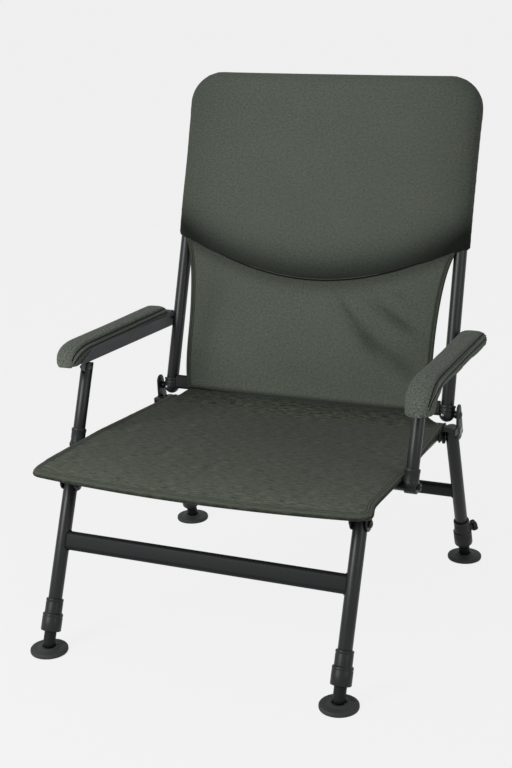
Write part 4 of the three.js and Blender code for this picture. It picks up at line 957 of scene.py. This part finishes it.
side_hem_profile = np.array(
    [
        (0.0092, 0.0001), (0.0089, 0.0007), (0.0078, 0.0009), (0.0065, 0.0008), (0.0058, 0.0003),
        (0.0051, 0.0008), (0.0030, 0.0009), (0.0014, 0.0007), (0.0003, 0.0001), (0.0, -0.0009),
        (0.0004, -0.0018), (0.0016, -0.0022), (0.0080, -0.0023), (0.0092, -0.0018),
    ]
)
for name, side in (("left", -1), ("right", 1)):
    heights = np.linspace(panel_bottom_at(side * foot_half), 0.27, 110)
    x = panel_half(heights)[:, None] - side_hem_profile[:, 0]
    z = np.broadcast_to(heights[:, None], x.shape)
    rows = np.stack([side * x, -panel_front(side * x, z) - side_hem_profile[:, 1], z], -1)
    hem = piece("panel_hem_" + name, placed(skin(rows), back_frame), crease=50)
    unwrap(hem, lambda points: hem_map(heights, side_hem_profile))
    fit(hem, "back", side_hem_cloth, "sheet_cloth")


# Head pad: a foam pad in a cloth sleeve that is drawn over the top of the bent tube. It is crowned in front,
# nearly flat behind, round at the upper corners, and its curved lower edge rolls under over the panel.
pad_half, pad_top, pad_corner = 0.2755, 0.577, 0.061
# The pad's cloth is darkened by painted shade above its lower seam and towards its sides.
pad_cloth = woven("pad_cloth", linear(50, 56, 48), linear(107, 113, 104), slub=0.16, twill=0.14, grain=0.6,
                  painted_shade=seam_shade(reach=0.042, deepest=0.8, direction=1))


def pad_edge(x, z):
    """How far a point lies inside the pad's outline, whose upper corners are quarter circles."""
    past_x, past_z = np.abs(x) - (pad_half - pad_corner), z - (pad_top - pad_corner)
    corner = pad_corner - np.hypot(past_x, past_z)
    plain = np.minimum(pad_half - np.abs(x), pad_top - z)
    return np.where((past_x > 0) & (past_z > 0), corner, plain)


def pad_half_at(z):
    """Half the pad's width at a height, less where the corner's quarter circle has begun."""
    past = np.maximum(z - (pad_top - pad_corner), 0)
    return pad_half - pad_corner + np.sqrt(np.maximum(pad_corner**2 - past**2, 0))


def pad_depth(x, z, full, crown, roll):
    """The pad's face: a quarter-circle roll at the outline, a longer one at the seam, and a slow crown."""
    side = np.maximum(pad_edge(x, z), 0)
    low = np.maximum(z - seam_height(x * seam_half / pad_half), 0)
    swell = 0.002 + (full - 0.002) * quarter(side / roll)
    hang = 0.56 + 0.44 * quarter(low / 0.055)
    return swell * hang + crown * (1 - np.exp(-np.minimum(side, low) / 0.06))


def blown(start, voxel, pressure, cap):
    """A stuffed shape: an even remesh of the start, blown up by cloth pressure without gravity. No point
    moves further than the cap. One subdivision smooths the result."""
    remesh = start.modifiers.new("even", "REMESH")
    remesh.mode = "VOXEL"
    remesh.voxel_size = voxel
    bpy.context.view_layer.update()
    even = bpy.data.meshes.new_from_object(start.evaluated_get(bpy.context.evaluated_depsgraph_get()))
    start.modifiers.clear()
    start.data = even
    rest = points_of(even)
    cloth_step = start.modifiers.new("cloth", "CLOTH")
    cloth_step.settings.use_pressure = True
    cloth_step.settings.uniform_pressure_force = pressure
    cloth_step.settings.effector_weights.gravity = 0
    for moment in range(1, 21):
        bpy.context.scene.frame_set(moment)
    move = points_of(start.evaluated_get(bpy.context.evaluated_depsgraph_get()).data) - rest
    length = np.linalg.norm(move, axis=1, keepdims=True)
    move *= np.minimum(1, cap / np.maximum(length, 1e-9))
    start.modifiers.clear()
    bpy.context.scene.frame_set(1)
    even.vertices.foreach_set("co", (rest + move).ravel())
    even.update()
    finer = start.modifiers.new("finer", "SUBSURF")
    finer.levels = finer.render_levels = 1
    smooth = bpy.data.meshes.new_from_object(start.evaluated_get(bpy.context.evaluated_depsgraph_get()))
    start.modifiers.clear()
    start.data = smooth
    smooth.shade_smooth()
    return start


side_steps = np.linspace(0.94, 1, 9)
shares = np.concatenate([-side_steps[:0:-1], np.linspace(-0.94, 0.94, 90), side_steps[1:]])
steps = np.concatenate([np.linspace(0, 0.9, 60)[:-1], np.linspace(0.9, 1, 14)])
outline_inset = 0.0005
seam = seam_height(shares * seam_half)
z = seam[None] + steps[:, None] * (pad_top - outline_inset - seam[None])
x = shares[None] * (pad_half_at(z) - outline_inset)
front_face = np.stack([x, -pad_depth(x, z, full=0.0195, crown=0.0055, roll=0.019), z], -1)
rear_face = np.stack([x, pad_depth(x, z, full=0.0146, crown=0.0012, roll=0.011), z], -1)
unstuffed = piece("head_pad", placed(slab(front_face, rear_face), back_frame))
head_pad = blown(unstuffed, voxel=0.0055, pressure=4, cap=0.004)
local = moved(points_of(head_pad.data), back_frame.inverted())
seam_line = np.exp(-(((pad_edge(local[:, 0], local[:, 2]) - 0.0065) / 0.0018) ** 2)) * (local[:, 1] < 0)
local[:, 1] += 0.0012 * seam_line
askew = ease((local[:, 2] - 0.35) / 0.2)
local[:, 2] -= 0.0036 * askew * local[:, 0] / pad_half
head_pad.data.vertices.foreach_set("co", moved(local, back_frame).ravel())
unwrap(head_pad, on_back)
fit(head_pad, "back", pad_cloth, "pad_cloth", "back_upper_pad")

# The near-black colour of these cords, and of the arm's seam and bound cords, is partly dark thread and
# partly a painted shadow line along the seams and the panel's lower edge.
thread_and_shadow_line = woven("thread_and_shadow_line", linear(9, 11, 9), linear(24, 27, 23), slub=0.1, twill=0.05, grain=0.9)
seam_x, edge_x = np.linspace(-0.247, 0.247, 150), np.linspace(-0.217, 0.217, 120)
edge_z = panel_bottom_at(edge_x)
edge_y = 0.0004 - panel_front(edge_x, edge_z)
for name, radius, slot, line in (
    ("pad_seam_cord", 0.0013, "pad_cloth", (seam_x, 0 * seam_x - 0.0143, seam_height(seam_x) + 0.0034)),
    ("panel_edge_cord", 0.0014, "sheet_cloth", (edge_x, edge_y, edge_z + 0.0004)),
):
    cord = piece(name, placed(carried(np.stack(line, -1), circle(10) * radius, (0, 1, 0)), back_frame))
    fit(cord, "back", thread_and_shadow_line, slot)


# Armrests: a grey moulded rail with a raked nose turns on a pin through the backrest tube. A padded sleeve
# lies on it, hangs over its outer side and droops over its nose. A seam on the right of each sleeve draws a
# groove along the top, and piping runs along the narrow band beyond it.
grey_nylon = moulded("grey_nylon", linear(88, 89, 93), linear(112, 114, 118), 0.55)
arm_cloth = woven("arm_cloth", linear(42, 47, 41), linear(124, 131, 121), slub=0.1, twill=0.04, grain=1.15,
                  bolder=1.5)
support_length, support_half = 0.129035, 0.2887
support_y, support_z = 0.199, 0.275
support_run_y = support_length * math.sin(recline_angle)
support_run_z = support_length * math.cos(recline_angle)
arm_pin_y, arm_pin_z = recline_y + support_run_y, recline_z + support_run_z
lug_y, lug_z = support_y + support_run_y, support_z + support_run_z
arm_run = recline_y - support_y
arm_splay, arm_slope = math.radians(1.33), math.radians(1.5)
arm_half = support_half - arm_run * math.tan(arm_splay)
rail_nose = arm_run + 0.028
sleeve_shift, sleeve_half = 0.014, 0.024
pad_rear_end, nose_run = -0.010, 0.06
pad_top_at_pin, pad_fall = 0.017, math.tan(arm_slope - math.radians(0.5))
groove_offset = 0.0185


def arm_frame(side):
    """The armrest's frame: its origin on the pin in the backrest tube, its -Y towards the front."""
    return (
        Matrix.Translation((side * arm_half, arm_pin_y + front_feet, arm_pin_z))
        @ Matrix.Rotation(side * arm_splay, 4, "Z")
        @ Matrix.Rotation(-arm_slope, 4, "X")
    )


def arm_pad_shape(side, pad_front_end, nose_drop):
    """The sleeve before it is stuffed: an upper and a lower height over a grid of places along and across the
    arm. The top is crowned and rolls down at its ends and edges. The nose is a long quarter ellipse, rounder
    on the outer side, and droops past the rail. The underside follows the rail."""
    front_rows = pad_front_end + 0.06 * np.linspace(0, 1, 26) ** 1.7
    middle_rows = np.linspace(pad_front_end + 0.06, -0.03, 74)[1:]
    rear_rows = pad_rear_end - 0.02 * np.linspace(1, 0, 10)[1:] ** 1.4
    rows = np.concatenate([front_rows, middle_rows, rear_rows])
    shares = np.sin(np.linspace(-np.pi / 2, np.pi / 2, 41))
    front_roll = 1 - quarter((rows - pad_front_end) / nose_run)
    rear_roll = 1 - quarter((pad_rear_end - rows) / 0.015)
    inner_cut = 0.5 * (1 - quarter((rows - pad_front_end) / 0.018))
    outer_cut = 0.8 * (1 - quarter((rows - pad_front_end) / 0.048))
    cut = np.where(shares[None] > 0, outer_cut[:, None], inner_cut[:, None])
    half = sleeve_half * (1 - cut - 0.3 * rear_roll[:, None])
    x = side * (sleeve_shift + shares[None] * half)
    y = rows[:, None] * np.ones(len(shares))
    edge = half * (1 - np.abs(shares))
    top = pad_top_at_pin + pad_fall * y
    top = top - (nose_drop - 0.003) * front_roll[:, None] - 0.006 * rear_roll[:, None]
    top = top - 0.0085 * (1 - quarter(edge / 0.013))
    top = top + 0.002 * (1 - shares[None] ** 2)
    beyond = np.maximum(y + rail_nose + 0.0006, 0) / 0.042
    under = np.minimum(-0.019 + beyond * 0.022, 0.0033)
    under = under - (nose_drop - 0.026) * ease((-rail_nose - y + 0.001) / 0.011)
    over_side = side * x > 0.0106
    under = np.where(over_side, np.minimum(under, -0.0057), under)
    lowest = np.where(y < -rail_nose + 0.002, top.min(1, keepdims=True), top) - 0.006
    return slab(np.stack([x, y, top], -1), np.stack([x, y, np.minimum(under, lowest)], -1))


def thread(made, points, radius, name, body, finish, slot):
    """A cord of piping on a piece: each point of the line is drawn to the nearest place on its surface."""
    tree = BVHTree.FromObject(made, bpy.context.evaluated_depsgraph_get())
    laid = np.array([tuple(tree.find_nearest(Vector(point))[0]) for point in points])
    cord = piece(name, carried(evened(laid, 0.003), circle(10) * radius, (0, 0, 1)))
    return fit(cord, body, finish, slot)


piping_cloth = woven("piping_cloth", linear(70, 75, 68), linear(120, 125, 117), slub=0.1, twill=0.05,
                     grain=0.9)
# The seam and bound cords take the near-black thread colour that is partly a painted shadow line.
pipings = (
    ("seam", groove_offset, 0.001, 0.0009, thread_and_shadow_line),
    ("upper", 0.0222, 0.004, 0.0009, piping_cloth),
    ("bound", 0.0244, 0.0075, 0.0008, thread_and_shadow_line),
    ("lower", 0.0252, 0.0115, 0.0011, piping_cloth),
)
beam_outline = rounded(
    [
        (-0.0005, -0.019), (0.006, -0.0135), (0.006, 0.0), (0.0, 0.003), (-rail_nose + 0.042, 0.003),
        (-rail_nose, -0.019),
    ],
    0.0022,
)
for name, side in (("left", -1), ("right", 1)):
    matrix = arm_frame(side)
    eye = capsule((0, 0), 0.0095, (-0.001, 0.0), 0.0095, 20)
    lug_at = matrix.inverted() @ Vector((side * support_half, lug_y + front_feet, lug_z))
    lug = capsule((lug_at.y, lug_at.z), 0.008, (lug_at.y, lug_at.z + 0.011), 0.0077, 20)
    lug_pin = turned([(0.0026, -0.0099), (0.003, -0.0096), (0.003, 0.0096), (0.0026, 0.0099)])
    rail = piece(
        "arm_rail_body_" + name,
        placed(plate(beam_outline, -0.01, 0.01, 0.0022, 6), matrix),
        placed(plate(eye, -0.01, 0.01, 0.0012), matrix),
        placed(plate(lug, lug_at.x - 0.0025, lug_at.x + 0.0025, 0.0006), matrix),
        placed(lug_pin, matrix @ Matrix.Translation(lug_at) @ Matrix.Rotation(math.pi / 2, 4, "Y")),
    )
    fit(rail, "arm_" + name, grey_nylon, "grey_plastic", "arm_rail_" + name)

    pad_front_end, nose_drop = (-0.337, 0.027) if side < 0 else (-0.347, 0.046)
    unstuffed = piece("arm_sleeve_" + name, placed(arm_pad_shape(side, pad_front_end, nose_drop), matrix))
    pad = blown(unstuffed, voxel=0.003, pressure=3, cap=0.0015)
    local = moved(points_of(pad.data), matrix.inverted())
    groove_x = side * sleeve_shift + groove_offset
    front_fade = ease((local[:, 1] - pad_front_end - 0.004) / 0.02)
    rear_fade = ease((pad_rear_end - 0.004 - local[:, 1]) / 0.02)
    roll = 1 - quarter((local[:, 1] - pad_front_end) / nose_run)
    on_top = ease((local[:, 2] + (nose_drop - 0.003) * roll - 0.004) / 0.003)
    furrow = np.exp(-(((local[:, 0] - groove_x) / 0.0022) ** 2))
    local[:, 2] -= 0.0034 * front_fade * rear_fade * on_top * furrow
    pad.data.vertices.foreach_set("co", moved(local, matrix).ravel())
    below = local[:, 2] - pad_top_at_pin
    over = np.clip((local[:, 0] - side * sleeve_shift) / sleeve_half, -1, 1) ** 3
    pad_places = np.stack([local[:, 0] - over * below, local[:, 1] + below], -1)
    unwrap(pad, lambda points: pad_places)
    fit(pad, "arm_" + name, arm_cloth, "pad_cloth", "arm_pad_" + name)
    run = pad_front_end + 0.002 + (pad_rear_end - 0.01 - pad_front_end) * np.linspace(0, 1, 120) ** 1.3
    fallen = (nose_drop - 0.003) * (1 - quarter((run - pad_front_end) / nose_run))
    for tag, offset, drop, radius, finish in pipings:
        line_x = np.full(len(run), side * sleeve_shift + offset)
        line = np.stack([line_x, run, pad_top_at_pin + pad_fall * run - fallen - drop], -1)
        thread(pad, moved(line, matrix), radius, "arm_piping_" + tag + "_" + name, "arm_" + name, finish,
               "pad_cloth")

    washer = turned([(0.0055, 0.0), (0.006, 0.0004), (0.006, 0.0015), (0.0055, 0.0019)])
    pin = piece(
        "arm_pin_" + name,
        placed(button(0.006, 0.0026, 0.003, -0.0445), across(side, arm_half + 0.0103, arm_pin_y, arm_pin_z)),
        placed(washer, across(side, 0.2698, arm_pin_y, arm_pin_z)),
    )
    fit(pin, "back", zinc, "zinc_steel", "arm_pivot_" + name)


# Arm supports: 20 mm tube painted like the frame. Its upper end is forked over the armrest's lug, and its
# lower end sits in a nylon socket that turns on a stud of the seat rail.
tube_offset, strut_radius = 0.0046, 0.01
socket_profile = [
    (0.009, 0.0005), (0.0105, 0.001), (0.0116, 0.0035), (0.0117, 0.009), (0.0113, 0.0096), (0.0113, 0.0104),
    (0.0118, 0.011), (0.0119, 0.0228), (0.0123, 0.0236), (0.0123, 0.0273), (0.0119, 0.0284),
    (0.0112, 0.0289), (0.0101, 0.0289),
]


stud_head = button(head_radius, head_height, shank_radius, -0.025)
stud_post = turned([(0.0073, 0), (0.0075, 0.0003), (0.0075, 0.0231), (0.0068, 0.0237)])
slot_half, prong_half = 0.0031, 0.0095


def prong(way, pin_height):
    """One side of a fork cut from a round tube: each row is an arc of the tube's circle, closed by a flat
    face towards the slot. Past the pin the rows narrow by a circle round it, so that the tip is round."""
    tip = 0.00995 * np.sin(np.linspace(0, np.pi / 2 * 0.97, 10))[1:]
    above = np.concatenate([[-0.0125, 0], tip])
    reach = np.where(above > 0, np.sqrt(np.maximum(strut_radius**2 - above**2, 0)), prong_half)
    reach = np.minimum(reach, prong_half)
    turn = np.linspace(-1, 1, 17)
    y_out = reach[:, None] * turn[None]
    y_in = y_out[:, ::-4]
    x_out, x_in = np.sqrt(strut_radius**2 - y_out**2), np.full_like(y_in, slot_half)
    x, y = way * np.concatenate([x_out, x_in], 1), np.concatenate([y_out, y_in], 1)
    return skin(np.stack([x, y, np.broadcast_to(pin_height + above[:, None], x.shape)], -1))


for name, side in (("left", -1), ("right", 1)):
    low = Vector((side * support_half, support_y - tube_offset + front_feet, support_z))
    high = Vector((side * support_half, lug_y + tube_offset + front_feet, lug_z))
    matrix = Matrix.Translation(low) @ Vector((0, 0, 1)).rotation_difference(high - low).to_matrix().to_4x4()
    pin_at = matrix.inverted() @ Vector((side * support_half, lug_y + front_feet, lug_z))
    stations = (0.014, 0.06, pin_at.z - 0.0105)
    shaft = tube([(0, 0, z) for z in stations], strut_radius, across=(0, 1, 0), rounding=0.0002)
    prongs = [placed(prong(way, pin_at.z), matrix) for way in (-1, 1)]
    support = piece("arm_strut_" + name, placed(shaft, matrix), *prongs)
    fit(support, "support_" + name, tube_paint, "tube_paint", "arm_support_" + name)
    hub_ends = sorted((side * (support_half - 0.0097), side * (support_half + 0.0097)))
    hub = plate(circle(40) * 0.011 + [support_y + front_feet, support_z], *hub_ends, 0.0012)
    socket = piece("strut_socket_" + name, placed(turned(socket_profile, 44), matrix), hub)
    fit(socket, "support_" + name, black_nylon, "black_plastic", "arm_socket_" + name)
    rivet = placed(
        turned([(0.0016, -0.003), (0.0025, 0), (0.0024, 0.0006), (0.0017, 0.0011), (0.0006, 0.0013)]),
        matrix @ Matrix.Translation((0.003, -0.0113, 0.004)) @ Matrix.Rotation(math.radians(95), 4, "X"),
    )
    fit(piece("socket_rivet_" + name, rivet), "support_" + name, black_steel, "black_plastic")
    stud = piece(
        "arm_stud_turned_" + name,
        placed(stud_head, across(side, support_half + 0.0123, support_y, support_z)),
        placed(stud_post, across(side, rail_half + rail_radius + 0.0002, support_y, support_z)),
    )
    fit(stud, "seat_frame", black_steel, "black_plastic", "arm_stud_" + name)


# Legs: two welded frames of 22 mm tube with a flat oval bar each. The front frame hangs from straps under
# the rails and the rear one from the hinge brackets. Both are painted like the seat frame.
foot_ball_z = 0.014
rear_foot = (0.2722, 0.5711 + front_feet)
rear_pivot_half = 0.268
leg_ends = {}
for name, side in (("left", -1), ("right", 1)):
    leg_ends["front_" + name] = (
        Vector((side * rail_half, front_feet, foot_ball_z)),
        Vector((side * rail_half, front_pivot_y + front_feet, front_pivot_z)),
    )
    leg_ends["rear_" + name] = (
        Vector((side * rear_foot[0], rear_foot[1], foot_ball_z)),
        Vector((side * rear_pivot_half, leg_pivot_y + front_feet, leg_pivot_z)),
    )


def leg_frame(tag):
    """A leg's own frame: its origin in the foot's ball, its Z along the leg to the pivot."""
    foot, pivot = leg_ends[tag]
    return Matrix.Translation(foot) @ Vector((0, 0, 1)).rotation_difference(pivot - foot).to_matrix().to_4x4()


for tag, (foot, pivot) in leg_ends.items():
    end, hand = tag.split("_")
    stations = (0.03, 0.15, (pivot - foot).length + 0.005)
    leg = tube([(0, 0, z) for z in stations], rail_radius, across=(0, 1, 0), rounding=0.001)
    leg_piece = piece("leg_tube_" + tag, placed(leg, leg_frame(tag)))
    fit(leg_piece, end + "_legs", tube_paint, "tube_paint", end + "_leg_" + hand)

for name, height, wide, thick in (("front", 0.1658, 0.03, 0.015), ("rear", 0.143, 0.026, 0.013)):
    foot, pivot = leg_ends[name + "_right"]
    at = foot.lerp(pivot, (height - foot.z) / (pivot.z - foot.z))
    along_leg = (pivot - foot).normalized()
    lean = math.atan2(along_leg.y, along_leg.z)
    up_leg, out_leg = np.array((0, math.sin(lean), math.cos(lean))), (0, math.cos(lean), -math.sin(lean))
    reach = wide / 2 - thick / 2
    section = capsule((-reach, 0), thick / 2, (reach, 0), thick / 2, 18)
    half = at.x - rail_radius + 0.0035
    bar = carried([(x, at.y, at.z) for x in (-half, 0, half)], section, out_leg)
    rim = capsule((-reach, 0), thick / 2 + 0.0004, (reach, 0), thick / 2 + 0.0004, 30)
    rise, off = rim[:, :1], rim[:, 1:]
    to_leg = at.x - np.sqrt(np.maximum(rail_radius**2 - off**2, 0)) - 0.0005
    beads = []
    for side in (-1, 1):
        place_x = (side * to_leg + side * rise * along_leg.x) * [1, 0, 0]
        ring = np.array((0, at.y, at.z)) + rise * up_leg + off * np.array(out_leg) + place_x
        beads.append(carried(ring, circle(10) * 0.0011, (1, 0, 0), ring=True))
    fit(piece(name + "_leg_bar", bar, *beads), name + "_legs", bar_paint, "bar_paint", name + "_cross_bar")


# Leg clamps, knobs, extensions and mud feet. A stepped nylon clamp closes the end of each leg. A scalloped
# knob on a boss grips the painted extension inside, and a rubber foot turns on the extension's ball end.
foot_rubber = moulded("foot_rubber", linear(34, 37, 36), linear(66, 70, 68), 0.62, 500)
clamp_profile = [
    (0.0088, 0.0195), (0.0140, 0.0195), (0.0154, 0.0201), (0.0160, 0.0214), (0.0160, 0.0414),
    (0.0156, 0.0420), (0.0156, 0.0430), (0.0161, 0.0437), (0.0161, 0.0462), (0.0155, 0.0474),
    (0.0143, 0.0481), (0.0137, 0.0490), (0.0136, 0.0500), (0.0136, 0.0650), (0.0133, 0.0655),
    (0.0133, 0.0664), (0.0138, 0.0672), (0.0138, 0.0696), (0.0133, 0.0707), (0.0122, 0.0711),
    (0.0109, 0.0711),
]
boss_profile = [
    (0.0064, 0.005), (0.0066, 0.015), (0.0064, 0.0180), (0.0059, 0.0185), (0.0034, 0.0185), (0.0033, 0.0150),
]
knob_profile = [
    (0.0030, -0.0030), (0.0032, 0.0), (0.0080, 0.0), (0.0098, 0.0005), (0.0104, 0.0016), (0.0105, 0.0040),
    (0.0104, 0.0062), (0.0098, 0.0077), (0.0086, 0.0084), (0.0060, 0.0085), (0.0054, 0.0079),
    (0.0030, 0.0077),
]
foot_profile = [
    (0.0060, 0.0012), (0.0075, 0.0012), (0.0085, 0.0), (0.0115, 0.0), (0.0125, 0.0012), (0.0145, 0.0012),
    (0.0155, 0.0), (0.0185, 0.0), (0.0195, 0.0012), (0.0215, 0.0012), (0.0225, 0.0), (0.0275, 0.0),
    (0.0292, 0.0006), (0.0299, 0.0020), (0.0300, 0.0040), (0.0297, 0.0060), (0.0288, 0.0072),
    (0.0272, 0.0077), (0.0220, 0.0079), (0.0178, 0.0080), (0.0168, 0.0084), (0.0158, 0.0092),
    (0.0148, 0.0097), (0.0120, 0.0100), (0.0108, 0.0098), (0.0102, 0.0088), (0.0098, 0.0075),
]
extension_radius = 0.0095
nose = np.linspace(-math.pi / 2 * 0.93, 0, 9)
extension_profile = [
    *((extension_radius * math.cos(t), extension_radius * math.sin(t)) for t in nose),
    (extension_radius, 0.15), (extension_radius - 0.001, 0.1505),
]
clamp_height, knob_standoff = 0.048, 0.0188
for tag, (foot, pivot) in leg_ends.items():
    matrix = leg_frame(tag)
    side = -1 if tag.endswith("left") else 1
    body = tag.split("_")[0] + "_legs"
    knob_turn = math.radians(114) if tag.startswith("front") else math.pi / 2 - side * math.pi / 4
    turns = Matrix.Rotation(knob_turn, 4, "Z") @ Matrix.Rotation(math.pi / 2, 4, "Y")
    outward = matrix @ Matrix.Translation((0, 0, clamp_height)) @ turns
    boss = placed(turned(boss_profile), outward)
    clamp = piece("clamp_" + tag, placed(turned(clamp_profile, 48), matrix), boss)
    fit(clamp, body, black_nylon, "black_plastic", "leg_clamp_" + tag)
    knob = turned(knob_profile, 80, lobes=5, swing=0.07)
    knob_piece = piece("knob_" + tag, placed(knob, outward @ Matrix.Translation((0, 0, knob_standoff))))
    fit(knob_piece, "knob_" + tag, black_nylon, "black_plastic", "clamp_knob_" + tag)
    extension = piece("extension_tube_" + tag, placed(turned(extension_profile, 36), matrix))
    fit(extension, "extension_" + tag, bar_paint, "bar_paint", "leg_extension_" + tag)
    disc = placed(turned(foot_profile, 72), Matrix.Translation((foot.x, foot.y, 0)))
    fit(piece("foot_disc_" + tag, disc), "foot_" + tag, foot_rubber, "foot_rubber", "mud_foot_" + tag)
